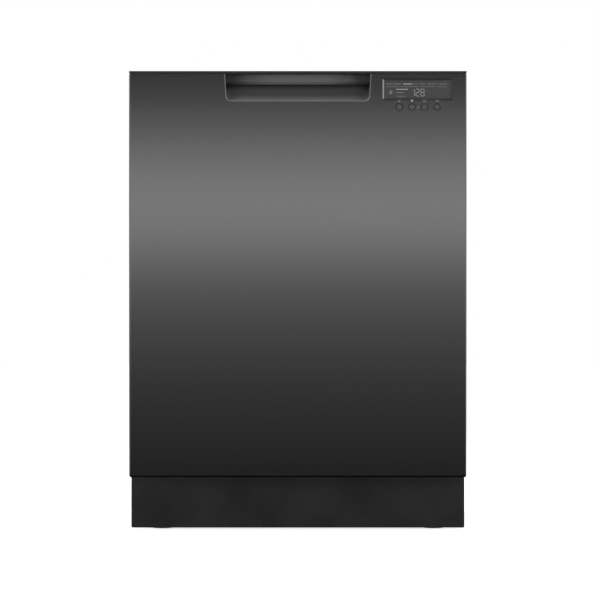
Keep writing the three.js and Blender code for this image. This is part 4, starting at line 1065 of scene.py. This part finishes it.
# ---------------------------------------------------------------- the door's back
@dataclass
class DoorInner:
    """The liner, its padding, the dispenser, the latch and the hinge arms."""

    bead_half: float = 225
    bead_side: float = 236
    latch_screw: float = 36
    ridges: int = 5
    ridge_pitch: float = 5
    knurl: float = 15.9
    knurls: int = 20

    def build(self) -> None:
        """Dresses each piece."""
        carried(["door_liner"], Look.TUB, 1.6, {"door_liner": self.ribs})
        carried(["door_pad"], Look.FELT, 3)
        carried(["door_latch"], Look.DARK, 0.6, {"door_latch": self.latch})
        carried(["hinge_arm_left", "hinge_arm_right"], Look.ZINC, 0.5)
        carried(["control_board"], Look.BOARD, 0.3)
        self.dispenser()
        self.bottom_seal()

    def ribs(self, shape: Shape) -> None:
        """Three shallow pressed beads across the liner, and one up each side."""
        low, high = box_mm("door_liner")
        y = high.y - 1.2
        for z in (low.z + 90, high.z - 130, high.z - 110):
            shape.tube([(-self.bead_half, y, z), (self.bead_half, y, z)], 2.6, False, 10)
        for x in (-self.bead_side, self.bead_side):
            shape.tube([(x, y, low.z + 60), (x, y, high.z - 70)], 2.2, False, 10)

    def latch(self, shape: Shape) -> None:
        """Two screw heads on the latch."""
        low, high = box_mm("door_latch")
        z = low.z + 6
        for x in (-self.latch_screw, self.latch_screw):
            shape.rod((x, high.y - 1.5, z), (x, high.y, z), 3.2, 16, 0.4)

    def dispenser(self) -> None:
        """The dispenser's frame, the detergent cup's lid and the rinse-aid cap."""
        shape = Shape().copied("dispenser_body")
        low, high = box_mm("dispenser_body")
        section = [(0, 2.2), (0, 0.5), (0.8, 0.0), (2.6, 0.0), (3.2, 0.5), (3.2, 2.2)]
        shape.ring([upright(pane(low, high, inset, inset, 9, 5), high.y - drop) for inset, drop in section])
        piece("dispenser_frame", shape, Look.DARK, "door", ["dispenser_body"], bevel=0.5)
        self.lid()
        self.rinse_cap()

    def lid(self) -> None:
        """The detergent cup's hinged lid, with finger ridges and a catch."""
        low, high = box_mm("dispenser_lid")
        rows = [(0.8, low.y), (0, low.y + 0.6), (0, high.y - 2.6), (0.7, high.y - 2.0), (3, high.y - 1.8)]
        lid = Shape().loft([upright(pane(low, high, inset, inset, 6, 5), y) for inset, y in rows])
        for i in range(self.ridges):
            z = (low.z + high.z) / 2 - 10 + self.ridge_pitch * i
            lid.block((low.x + 14, high.y - 2.2, z - 0.8), (high.x - 14, high.y - 0.2, z + 0.8), 0.7, 2)
        lid.finish = 1
        lid.rod((high.x - 9, high.y - 2.4, low.z + 9), (high.x - 9, high.y - 1.2, low.z + 9), 3.4, 18, 0.4)
        piece("dispenser_lid_shown", lid, [Look.GREY, Look.BLUE], "dispenser_lid",
              ["dispenser_lid"])

    def rinse_cap(self) -> None:
        """The rinse-aid cap, with a grip across it and a knurled rim."""
        low, high = box_mm("rinse_aid_cap")
        middle_x, _, middle_z = centre_of(low, high)
        reach = high.y - low.y
        profile = [(0, 0), (12, 0), (12, 6), (16.2, 6.4), (16.4, 7.4), (16.4, reach - 6), (15.4, reach - 5),
                   (8, reach - 5.6), (0, reach - 5.8)]
        cap = Shape().turned(profile, (middle_x, low.y, middle_z), (0, 1, 0), 40)
        cap.block((middle_x - 13, high.y - 7, middle_z - 2.2),
                  (middle_x + 13, high.y - 0.2, middle_z + 2.2), 1.6, 3)
        for cos, sin in circle(self.knurls):
            x, z = middle_x + self.knurl * cos, middle_z + self.knurl * sin
            cap.rod((x, low.y + 7.6, z), (x, high.y - 6.6, z), 0.5, 6, 0)
        piece("rinse_cap_shown", cap, Look.BLUE, "rinse_aid_cap", ["rinse_aid_cap"])

    def bottom_seal(self) -> None:
        """A lip seal with a bead along its edge."""
        low, high = box_mm("door_bottom_seal")
        seal = Shape().block((low.x, low.y + 0.5, low.z + 1), (high.x, high.y - 0.5, high.z), 0.4)
        y, z = low.y + 1.15, low.z + 1.15
        seal.tube([(low.x, y, z), (high.x, y, z)], 1.1, False, 10)
        piece("bottom_lip", seal, Look.RUBBER, "door", ["door_bottom_seal"])


# ---------------------------------------------------------------- tub and base
@dataclass
class Tub:
    """The wash tub with its seal, and the blanket and panels round it."""

    rear_bead: float = 2.5
    side_bead: float = 1.6
    side_wall: float = 278.4
    corner: float = 26
    strap: float = 12
    rivet_columns: Tuple[float, ...] = (-180, -60, 60, 180)
    stitches: int = 25
    stitch_pitch: float = 22.5
    tab_screws_x: Tuple[float, ...] = (200, 222)
    tab_screws_y: float = -203
    tab_top: float = 811.0

    def build(self) -> None:
        """Dresses each piece."""
        carried(["tub"], Look.TUB, 1.2, {"tub": self.ribs})
        self.seal()
        self.blanket()
        self.panels()
        carried(["worktop_tab_left", "worktop_tab_right", "door_strike"], Look.ZINC, 0.3)
        self.tab_screws()

    def ribs(self, shape: Shape) -> None:
        """Pressed beads on the back and side walls."""
        low, high = box_mm("tub")
        y = high.y - 1.6
        for x in (-150, 150):
            shape.tube([(x, y, low.z + 60), (x, y, high.z - 60)], self.rear_bead, False, 10)
        for x in (-self.side_wall, self.side_wall):
            for z in (430, 640):
                shape.tube([(x, low.y + 60, z), (x, high.y - 60, z)], self.side_bead, False, 10)

    def seal(self) -> None:
        """A gasket up the mouth's sides and over its top, with soft corners."""
        low, high = box_mm("tub_seal")
        middle_y = (low.y + high.y) / 2
        wide, half = 10.0, (high.y - low.y) / 2
        section = rounded([(0.4, half), (0.4, -half + 4), (3, -half), (wide - 2, -half + 2.5), (wide, 0),
                           (wide - 2.5, half)], 1.4, True, 3)
        lines = [upright(self.arch(low, high, inset, self.corner), middle_y + y) for inset, y in section]
        gasket = Shape().loft([list(loop) for loop in zip(*lines)])
        piece("gasket", gasket, Look.RUBBER, "chassis", ["tub_seal"])

    @staticmethod
    def arch(low: Vector, high: Vector, inset: float, corner: float) -> List[Flat]:
        """The gasket's open line: up one side, over and down the other."""
        left, right, top = low.x + inset, high.x - inset, high.z - inset
        corners = [(left, low.z), (left, top), (right, top), (right, low.z)]
        return rounded(corners, [0, corner - inset, corner - inset, 0], False, 8)

    def blanket(self) -> None:
        """The sound blanket: a felt wrap with two straps and a row of stitches."""
        shape = Shape().copied("sound_blanket")
        low, high = box_mm("sound_blanket")
        piece("blanket", shape, Look.FELT, "chassis", ["sound_blanket"], bevel=1.4, segments=3)
        straps = Shape()
        for z in (high.z - 190, low.z + 160):
            straps.block((low.x + 4, high.y - 0.9, z - self.strap),
                         (high.x - 4, high.y + 0.7, z + self.strap), 0.5)
            for x in self.rivet_columns:
                straps.rod((x, high.y + 0.6, z), (x, high.y + 1.4, z), 4.2, 14, 0.4)
        y, z = high.y - 0.4, high.z - 1.2
        for i in range(self.stitches):
            x = low.x + 20 + i * self.stitch_pitch
            straps.rod((x, y, z), (x + 8, y, z), 0.6, 6, 0.1)
        piece("blanket_straps", straps, Look.BLACK, "chassis")

    def panels(self) -> None:
        """The side sheets with pressed beads and screws."""
        for side, word in ((-1, "left"), (1, "right")):
            node = f"side_panel_{word}"
            low, high = box_mm(node)
            shape = Shape().copied(node)
            outer = high.x if side > 0 else low.x
            for z in (low.z + 110, (low.z + high.z) / 2, high.z - 110):
                x = outer - side * 1.9
                bead = [(x, low.y + 60, z - 34), (x, high.y - 60, z - 34), (x, high.y - 60, z + 34),
                        (x, low.y + 60, z + 34)]
                shape.tube(rounded(bead, 30, True, 5), 1.8, True, 10)
            for y in (low.y + 14, high.y - 30):
                for z in (low.z + 60, high.z - 20):
                    shape.rod((outer - side * 1.3, y, z), (outer - side * 0.05, y, z), 3.6, 6, 0.3)
            piece(node + "_shown", shape, Look.ZINC, "chassis", [node], bevel=0.25)

    def tab_screws(self) -> None:
        """Pan-head screws through the tabs' roots."""
        screws = Shape()
        y, top = self.tab_screws_y, self.tab_top
        for side in (-1, 1):
            for x in (side * place for place in self.tab_screws_x):
                screws.rod((x, y, top), (x, y, top + 2.4), 3.6, 18, 0.7)
                screws.block((x - 2.2, y - 0.4, top + 1.6), (x + 2.2, y + 0.4, top + 2.5), 0.1, 1)
        piece("tab_screws", screws, Look.STEEL, "chassis")


@dataclass
class Base:
    """The base pan and what stands in it, the feet, the hinge brackets and the balance springs."""

    coils: int = 30
    wire: float = 1.5
    coil_radius: float = 5
    coil_front: float = -166.5
    coil_back: float = 23.5
    link_front: float = -206
    link_back: float = -172
    bracket_face: float = 290
    rivets_y: Tuple[float, ...] = (-200, -170, -150)
    rivets_z: float = 88
    motor_axis: Flat = (134, 74)
    port: Flat = (-190, 74)
    threads: int = 6
    thread_pitch: float = 3.2

    def build(self) -> None:
        """Dresses each piece."""
        carried(["base_pan"], Look.BLACK, 1.0, {"base_pan": self.ribs})
        carried(["hinge_bracket_left", "hinge_bracket_right"], Look.ZINC, 0.4,
                {"hinge_bracket_left": self.rivets, "hinge_bracket_right": self.rivets})
        carried(["wash_pump"], Look.DARK, 1.2, {"wash_pump": self.motor})
        carried(["drain_pump"], Look.DARK, 0.8)
        carried(["inlet_valve"], Look.PALE, 0.8, {"inlet_valve": self.thread})
        carried(["sump", "filter_plate"], Look.GREY, 0.5)
        carried(["feed_tube", "spray_manifold"], Look.GREY, 0.6)
        for place in CORNERS:
            self.foot(f"foot_{place}")
        for word in ("left", "right"):
            self.spring(word)

    def ribs(self, shape: Shape) -> None:
        """Stiffening ribs on the pan's outside walls."""
        low, high = box_mm("base_pan")
        for side in (-1, 1):
            x = side * (high.x - 0.2)
            for i in range(9):
                y = low.y + 70 + i * 44
                shape.block((x - 0.8, y - 1.2, low.z + 8), (x + 0.8, y + 1.2, high.z - 8), 0.4, 1)
        for i in range(12):
            x = low.x + 100 + i * 22
            if abs(x + 190) > 20 and abs(x - 213) > 20:
                y = high.y - 0.05
                shape.block((x - 1.2, high.y - 1.6, low.z + 8), (x + 1.2, y, low.z + 60), 0.4, 1)

    def rivets(self, shape: Shape) -> None:
        """Rivet heads on a hinge bracket."""
        first = next(iter(shape.bm.verts))
        side = 1 if first.co.x > 0 else -1
        x, z = side * self.bracket_face, self.rivets_z
        for y in self.rivets_y:
            shape.rod((x - side * 1.4, y, z), (x, y, z), 3.0, 14, 0.5)

    def motor(self, shape: Shape) -> None:
        """Seven rings and a terminal block on the wash pump's motor."""
        ring = [(39.2, -1.4), (41.2, -1.4), (41.2, 1.4), (39.2, 1.4)]
        for i in range(7):
            shape.turned(ring, (82 + i * 11, *self.motor_axis), (1, 0, 0), 32)
        shape.block((120, 118, 108), (150, 150, 121.5), 1.0)

    def thread(self, shape: Shape) -> None:
        """Turns of thread on the inlet port."""
        end = box_mm("inlet_valve")[1].y
        turn = [(12.2, -0.9), (13.0, -0.2), (13.0, 0.2), (12.2, 0.9)]
        x, z = self.port
        for i in range(self.threads):
            shape.turned(turn, (x, end - 3 - self.thread_pitch * i, z), (0, 1, 0), 28)

    def foot(self, node: str) -> None:
        """A levelling foot: a threaded stem on a hexagon and a pad."""
        low, high = box_mm(node)
        centre = centre_of(low, high)[:2]
        stem = [(0, 0.0), (18, 0.0), (20, 1.6), (20, 6.0), (18.6, 8.2), (10, 9.0), (6.0, 9.6)]
        z = 12.0
        while z < high.z - 3:
            stem += [(5.3, z), (6.0, z + 0.9), (6.0, z + 1.3), (5.3, z + 2.2)]
            z += 2.8
        stem += [(5.3, high.z - 0.8), (4.6, high.z), (0, high.z)]
        shape = Shape().turned(stem, (*centre, 0), (0, 0, 1), 24)
        shape.rod((*centre, 9), (*centre, 15), 9.5, 6, 0.5)
        piece(node + "_shown", shape, Look.BLACK, node, [node])

    def spring(self, word: str) -> None:
        """A coil spring with straight ends, and the fixed rod before it."""
        node = f"balance_spring_{word}"
        x, _, z = centre_of(*box_mm(node))
        radius = self.coil_radius - self.wire / 2 - 0.1
        start, end = self.coil_front, self.coil_back
        path = [(x, end + 17, z), (x, end + 8, z)]
        steps = 12 * self.coils
        for i in range(steps + 1):
            turn = math.tau * i / 12
            grow = min(1, i / 8, (steps - i) / 8)
            y = end - (end - start) * i / steps
            path.append((x + radius * grow * math.cos(turn), y, z + radius * grow * math.sin(turn)))
        path += [(x, start - 6, z)]
        coil = Shape().tube(path, self.wire / 2, False, 6)
        piece(f"spring_coil_{word}", coil, Look.STEEL, "chassis", [node])
        line = [(x, y, z) for y in spread(self.link_back, self.link_front, 25)]
        link = Shape().tube(line, 1.5, False, 8)
        piece(f"spring_link_{word}", link, Look.STEEL, "chassis")


# ---------------------------------------------------------------- racks and washing
@dataclass
class WireRack:
    """A basket of round wire, whose centrelines follow the frame's box."""

    node: str
    base: float
    rim: float
    wire: float = 2.1
    cross: int = 13
    along: int = 10
    half_width: float = 250
    front: float = -216.7
    back: float = 245.7

    def build(self) -> None:
        """Makes the rims, the cradles across and along, and the node's own details."""
        shape = Shape()
        x0, x1 = -self.half_width + self.wire, self.half_width - self.wire
        y0, y1 = self.front + self.wire, self.back - self.wire
        for z in (self.rim, (self.rim + self.base) / 2 + 8):
            ring = rounded([(x0, y0, z), (x1, y0, z), (x1, y1, z), (x0, y1, z)], 14, True, 5)
            shape.tube(ring, self.wire, True, 10)
        inner = 2 * self.wire + 0.1
        left, right, near, far = x0 + inner, x1 - inner, y0 + inner, y1 - inner
        lines = [[(left, y, self.rim), (left, y, self.base), (right, y, self.base), (right, y, self.rim)]
                 for y in spread(y0 + 16, y1 - 16, self.cross)]
        z = self.base + self.wire * 1.5
        lines += [[(x, near, self.rim), (x, near, z), (x, far, z), (x, far, self.rim)]
                  for x in spread(x0 + 24, x1 - 24, self.along)]
        for line in lines:
            shape.tube(rounded(line, 9, False, 4), self.wire * 0.8, False, 8)
        self.details(shape)
        piece(self.node + "_wires", shape, [Look.WIRE, Look.GREY], self.node, [self.node])

    def details(self, shape: Shape) -> None:
        """Nothing more on a plain rack."""

    def grip(self, shape: Shape) -> None:
        """The grip on the rim's front wire."""
        shape.block((-62, -217, self.rim - 9), (62, -209.5, self.rim + 2.2), 2.4, 4)


@dataclass
class LowerRack(WireRack):
    """The lower rack: fixed tines, wheel hangers and a front grip."""

    tines_x: float = 84
    pitch: float = 33.17
    height: float = 74
    axles: Tuple[float, ...] = (-136, 164)
    axle_z: float = 159.3
    hanger_x: float = 246

    def details(self, shape: Shape) -> None:
        """Adds them."""
        row(shape, self.tines_x, self.base + 3.5, self.height, self.pitch)
        shape.finish = 1
        for side in (-1, 1):
            for y in self.axles:
                shape.rod((side * 244, y, self.axle_z), (side * 262.8, y, self.axle_z), 3.8, 16, 0.4)
                x = side * self.hanger_x
                hanger = [(x, y - 8, 152.5), (x, y + 8, 152.5), (x, y + 13, 205), (x, y - 13, 205)]
                shape.plate(hanger, (side * 3.4, 0, 0), 0.8)
        self.grip(shape)


@dataclass
class UpperRack(WireRack):
    """The upper rack: slides in its side rails and a front grip."""

    slide_x: Flat = (266.2, 273.8)
    slide_z: float = 545
    slide_half: float = 9.6
    ties: Tuple[float, ...] = (-170, 0, 200)
    tie_half: float = 5.8

    def details(self, shape: Shape) -> None:
        """Adds them."""
        shape.finish = 1
        for side in (-1, 1):
            low_x, high_x = sorted(side * x for x in self.slide_x)
            z, half = self.slide_z, self.slide_half
            shape.block((low_x, -214, z - half), (high_x, 240, z + half), 1.4, 3)
            low_x, high_x = sorted((side * 249, side * 268))
            for y in self.ties:
                shape.block((low_x, y - 11, z - self.tie_half), (high_x, y + 11, z + self.tie_half), 1.2)
        self.grip(shape)


TINES = 12


def row(shape: Shape, x: float, base: float, height: float, pitch: float, wire: float = 2.0) -> None:
    """A row of upright tines on a wire along the rack."""
    start, end = -184.5, 213.5
    shape.tube([(x, start, base + 2), (x, end, base + 2)], wire, False, 8)
    first = (start + end) / 2 - pitch * (TINES - 1) / 2
    tine = Shape()
    line = [(0, 0, 0), (0, 0, height * 0.55), (0, 1.2, height * 0.8), (0, 1.6, height - wire * 1.2)]
    tine.tube(rounded(line, 10, False, 3), wire, False, 8)
    tine.turned([(0, 0), (wire, 0), (wire * 0.9, 0.9), (wire * 0.5, wire * 0.9), (0, wire)],
                (0, 1.6, height - wire * 1.3), (0, 0.05, 1), 8)
    shape.stamp(tine, [Matrix.Translation((x, first + pitch * i, base)) for i in range(TINES)])


@dataclass
class Racks:
    """Everything that carries the dishes."""

    def build(self) -> None:
        """Makes the racks and what is on them."""
        LowerRack("lower_rack", 200, 318).build()
        UpperRack("upper_rack", 482, 600).build()
        for word, x in (("left", -168), ("right", -44)):
            node = f"folding_tines_{word}"
            shape = Shape()
            row(shape, x, 203.7, 76, LowerRack.pitch)
            piece(f"tines_{word}", shape, Look.WIRE, node, [node])
        for place in CORNERS:
            self.wheel(f"rack_wheel_{place}")
        for word, side in (("left", -1), ("right", 1)):
            self.shelf(word, side)
            self.rail(word)
        self.basket()

    def wheel(self, node: str) -> None:
        """A rack wheel: tread, hub, web and spokes."""
        low, high = box_mm(node)
        centre = centre_of(low, high)
        half = (high.x - low.x) / 2
        tread = [(15.2, -half + 0.4), (18.2, -half + 0.2), (19, -half + 1.4), (19, half - 1.4),
                 (18.2, half - 0.2), (15.2, half - 0.4), (14.4, half - 1.6), (14.4, -half + 1.6)]
        hub = [(4.3, -half), (7.2, -half), (7.6, -half + 0.6), (7.6, half - 0.6), (7.2, half), (4.3, half)]
        web = [(7.0, -1.2), (15, -1.2), (15, 1.2), (7.0, 1.2)]
        shape = Shape()
        for profile, segments in ((tread, 36), (hub, 24), (web, 36)):
            shape.turned(profile, centre, (1, 0, 0), segments)
        x, y, z = centre
        for cos, sin in circle(6):
            shape.rod((x, y + 7 * cos, z + 7 * sin), (x, y + 15 * cos, z + 15 * sin), 2.2, 8, 0.2)
        piece(node + "_shown", shape, Look.GREY, node, [node])

    def shelf(self, word: str, side: int) -> None:
        """A folding cup shelf of wire, with a plain glass rest along its edge."""
        node = f"cup_shelf_{word}"
        low, high = box_mm(node)
        z = (low.z + high.z) / 2
        near, far = side * 238, side * 143.5
        y0, y1 = low.y + 2.1, high.y - 2.1
        shape = Shape()
        ring = rounded([(near, y0, z), (far, y0, z), (far, y1, z), (near, y1, z)], 12, True, 5)
        shape.tube(ring, 2.0, True, 10)
        for y in spread(y0 + 26, y1 - 26, 9):
            shape.tube([(near, y, z), (far, y, z)], 1.5, False, 8)
        shape.tube([(side * 190, y0, z), (side * 190, y1, z)], 1.6, False, 8)
        shape.finish = 1
        reach = sorted((far - 3, far + 3))
        shape.block((reach[0], y0 + 22, z - 2.1), (reach[1], y1 - 22, z + 2.1), 1.2, 3)
        piece(f"shelf_{word}", shape, [Look.WIRE, Look.GREY], node, [node])

    def rail(self, word: str) -> None:
        """A rolled steel rail with a stop at its rear end."""
        node = f"rack_rail_{word}"
        low, high = box_mm(node)
        side = -1 if low.x < 0 else 1
        shape = Shape().copied(node)
        shape.finish = 1
        outer = high.x if side > 0 else low.x
        inner = outer - side * 5
        reach = sorted((outer - side * 1.0, inner))
        shape.block((reach[0], high.y - 3, low.z + 6), (reach[1], high.y - 0.2, high.z - 6), 0.8, 2)
        piece(node + "_shown", shape, [Look.STEEL, Look.GREY], "chassis", [node], bevel=0.6)

    def basket(self) -> None:
        """The cutlery basket: slatted walls, a divider and a bow handle."""
        low, high = box_mm("cutlery_basket")
        centre, middle, _ = centre_of(low, high)
        top = low.z + 112
        shape = Shape()
        wall = 2.0
        slat = 1.5
        for z, height in ((low.z, 10), (low.z + 52, 4), (top - 8, 8)):
            section = [(0, 0), (0, height), (wall, height), (wall, 0)]
            shape.ring([flat(rectangle((low.x + inset, low.y + inset), (high.x - inset, high.y - inset), 8),
                             z + level) for inset, level in section])
        for y in spread(low.y + 9, high.y - 9, 25):
            for x in (low.x, high.x - wall):
                shape.block((x, y - slat, low.z + 3), (x + wall, y + slat, top - 2), 0.4, 1)
        for x in spread(low.x + 9, high.x - 9, 10):
            for y in (low.y, high.y - wall):
                shape.block((x - slat, y, low.z + 3), (x + slat, y + wall, top - 2), 0.4, 1)
        for y in spread(low.y + 6, high.y - 6, 10):
            shape.block((low.x + 1, y - slat, low.z), (high.x - 1, y + slat, low.z + 2.4), 0.4, 1)
        for x in spread(low.x + 8, high.x - 8, 5):
            shape.block((x - slat, low.y + 1, low.z + 0.3), (x + slat, high.y - 1, low.z + 2.6), 0.4, 1)
        shape.block((low.x + 1, middle - 1.1, low.z + 1), (high.x - 1, middle + 1.1, top), 0.5, 1)
        bow = [(centre, middle - 62, top - 4), (centre, middle - 52, high.z - 4),
               (centre, middle + 52, high.z - 4), (centre, middle + 62, top - 4)]
        shape.tube(rounded(bow, 24, False, 8), 3.8, False, 12)
        for y in (middle - 62, middle + 62):
            shape.block((low.x + 1, y - 2, top - 8), (high.x - 1, y + 2, top - 0.4), 1.2)
        node = "cutlery_basket"
        piece(node + "_shown", shape, Look.GREY, node, [node])


@dataclass
class SprayArm:
    """A spray arm: a flat tapering blade of two shells, jets and a hub."""

    node: str
    jets: int = 7
    up: bool = True
    hub: float = 9
    tip: float = 13
    root: float = 11
    sweep: float = 3.0
    stations: int = 33

    def build(self) -> None:
        """Makes the arm."""
        low, high = box_mm(self.node)
        middle_y = (low.y + high.y) / 2
        blade_low = low.z if self.up else low.z + self.hub
        blade_high = high.z - self.hub if self.up else high.z
        middle_z = (blade_low + blade_high) / 2
        half = (blade_high - blade_low) / 2
        reach = high.x
        shape = Shape()
        loops = []
        for share in spread(-1, 1, self.stations):
            x = reach * math.sin(share * math.pi / 2)
            inner = 1 - abs(x) / reach
            round_tip = math.sqrt(max(0.01, 1 - (max(0, abs(x) - reach + 14) / 14.2) ** 2))
            width = (self.tip + self.root * inner) * round_tip
            tall = half * math.sqrt(max(0.04, 1 - (max(0, abs(x) - reach + 9) / 9.2) ** 2))
            section = []
            for cos, sin in circle(20):
                y = math.copysign(abs(cos) ** 0.6, cos) * width
                z = math.copysign(abs(sin) ** 0.75, sin) * tall
                section.append((x, middle_y + y + self.sweep * math.sin(share * math.pi), middle_z + z))
            loops.append(section)
        shape.loft(loops)
        top = blade_high if self.up else blade_low
        out = 1 if self.up else -1
        for side in (-1, 1):
            for i in range(self.jets):
                x = side * (34 + (reach - 60) * i / (self.jets - 1))
                y = middle_y + (4 if i % 2 else -4) + self.sweep * math.sin(x / reach * math.pi)
                ring = [(1.6, -1.4), (3.6, -1.4), (3.2, 0.4), (2.4, 0.9), (1.6, 0.4)]
                shape.turned([(r, h * out) for r, h in ring], (x, y, top - out * 0.6), segments=16)
        foot, end = middle_z, high.z if self.up else low.z
        hub = [(0, foot), (17, foot), (17, foot + 4 * out), (15.2, end - 3 * out), (13.5, end), (0, end)]
        shape.turned(hub if self.up else hub[::-1], (0, middle_y, 0))
        piece(self.node + "_shown", shape, Look.GREY, self.node, [self.node])


@dataclass
class Filter:
    """The upright filter: a fine mesh cylinder in a cage with a grip."""

    def build(self) -> None:
        """Makes the cage, the mesh and the grip."""
        low, high = box_mm("filter_cylinder")
        x, y, _ = centre_of(low, high)
        shape = Shape()
        collar = [(31, 0), (34.6, 0), (35, 0.5), (35, 2.6), (34, 3.2), (31, 3.2)]
        foot = [(29, 0), (31.5, 0), (31.5, 3), (29, 3)]
        base = [(0, 0), (29.4, 0), (29.4, 1.4), (0, 1.4)]
        for profile, z in ((collar, high.z - 12.4), (foot, low.z), (base, low.z + 0.4)):
            shape.turned(profile, (x, y, z), segments=48)
        for cos, sin in circle(8):
            place = (x + 30.2 * cos, y + 30.2 * sin)
            shape.rod((*place, low.z + 2), (*place, high.z - 11), 1.4, 8, 0.2)
        shape.block((x - 27, y - 2.2, high.z - 12), (x + 27, y + 2.2, high.z - 0.2), 1.8, 3)
        knob = [(0, 0), (6.5, 0), (6.5, 10), (5.2, 11.8), (0, 11.8)]
        shape.turned(knob, (x, y, high.z - 12), segments=24)
        shape.finish = 1
        hoop = [(29.2, 0), (29.7, 0), (29.7, 0.5), (29.2, 0.5)]
        for z in spread(low.z + 4, high.z - 15, 16):
            shape.turned(hoop, (x, y, z), segments=48)
        tall = high.z - low.z - 14
        shape.turned([(28.6, 0), (28.9, 0), (28.9, tall), (28.6, tall)], (x, y, low.z + 2), segments=48)
        piece("filter_shown", shape, [Look.GREY, Look.STEEL], "filter", ["filter_cylinder"])


# ---------------------------------------------------------------- studio
@dataclass
class Softbox:
    """A rectangular lamp: its place, what it points at, its size and its power in watts."""

    name: str
    place: Point
    aim: Point
    size: Flat
    power: float
    shiny: bool = True

    def build(self) -> None:
        """Makes the lamp."""
        data = bpy.data.lights.new(self.name, "AREA")
        data.shape = "RECTANGLE"
        data.size, data.size_y = self.size
        data.energy = self.power
        lamp = bpy.data.objects.new(self.name, data)
        lamp.visible_glossy = self.shiny
        lamp.location = self.place
        lamp.rotation_euler = (Vector(self.aim) - Vector(self.place)).to_track_quat("-Z", "Y").to_euler()
        bpy.context.scene.collection.objects.link(lamp)


@dataclass
class Studio:
    """The floor, the camera and soft light for a view square on to the door."""

    camera_back: float = 5.5
    camera_height: float = 0.4117
    camera_side: float = 0.0039
    lens: float = 186.0
    lamps_back: float = 2.0

    def build(self, face: float) -> None:
        """Makes them all; face is the depth of the door's face in metres."""
        self.floor()
        self.world()
        data = bpy.data.cameras.new("camera")
        data.lens = self.lens
        data.clip_start, data.clip_end = 0.05, 100
        camera = bpy.data.objects.new("camera", data)
        camera.location = (self.camera_side, face - self.camera_back, self.camera_height)
        camera.rotation_euler = (math.radians(90), 0, 0)
        bpy.context.scene.collection.objects.link(camera)
        bpy.context.scene.camera = camera
        bpy.context.scene.view_settings.view_transform = "Standard"
        front = face - self.lamps_back
        for box in (
            Softbox("key", (0, front, 0.61), (0, face, 0.61), (7.0, 0.14), 2.68),
            Softbox("key_high", (0, front, 0.75), (0, face, 0.75), (7.0, 0.14), 1.67),
            Softbox("key_middle", (0, front, 0.4), (0, face, 0.4), (7.0, 0.28), 0.74),
            Softbox("key_low", (0, front, 0.12), (0, face, 0.12), (7.0, 0.28), 0.27),
            Softbox("over", (-0.3, -1.5, 2.5), (0, 0, 0.4), (2.2, 1.4), 36, False),
            Softbox("right", (2.4, -0.7, 1.1), (0.2, -0.2, 0.5), (0.8, 1.6), 18, False),
            Softbox("left", (-2.6, -0.2, 1.3), (0, 0, 0.5), (0.8, 1.4), 9, False),
            Softbox("behind", (-1.2, 2.6, 1.9), (0, 0.2, 0.4), (1.6, 1.2), 34),
        ):
            box.build()

    def floor(self) -> None:
        """A wide pale floor with a faint mottle."""
        shape = Shape()
        bmesh.ops.create_grid(shape.bm, x_segments=24, y_segments=24, size=14000,
                              matrix=Matrix.Translation((0, 0, -0.4)))
        made = piece("floor", shape, Look.FLOOR, "")
        made.visible_glossy = False

    def world(self) -> None:
        """White behind the object, dimmer for its light, and soft grey sides in reflections."""
        world = bpy.data.worlds.new("studio")
        world.use_nodes = True
        bpy.context.scene.world = world
        graph = Graph(world.node_tree)
        seen = graph.node("ShaderNodeLightPath", output="Is Camera Ray")
        shiny = graph.node("ShaderNodeLightPath", output="Is Glossy Ray")
        way = graph.node("ShaderNodeTexCoord", output="Generated")
        across = graph.node("ShaderNodeSeparateXYZ", inputs={"Vector": way}, output="X")
        up = graph.node("ShaderNodeSeparateXYZ", inputs={"Vector": way}, output="Z")
        around = graph.ramp(across * across, 0.2, 0.5) * 0.26 + graph.ramp(up, 0.4, 0.8) * 0.08
        level = seen * 1.0 + (1 - seen) * (shiny * (around + 0.004) + (1 - shiny) * 0.42)
        shade = graph.node("ShaderNodeBackground", inputs={"Color": grey(1.0), "Strength": level})
        graph.node("ShaderNodeOutputWorld", inputs={"Surface": shade})


def main() -> None:
    """Builds every piece, then the studio."""
    logging.basicConfig(level=logging.INFO, format="%(message)s")
    face = box_mm("door_skin")[0].y
    controls = Controls(face)
    pull = Pull(face)
    mouth = pull.outline(0.2, 0.2)
    DoorFront(holes=[mouth] + controls.holes()).build()
    pull.build()
    controls.build()
    DoorInner().build()
    Tub().build()
    Base().build()
    Racks().build()
    SprayArm("lower_spray_arm").build()
    SprayArm("upper_spray_arm", 6, False).build()
    Filter().build()
    Studio().build(face * MM)


if __name__ == "__main__":
    main()
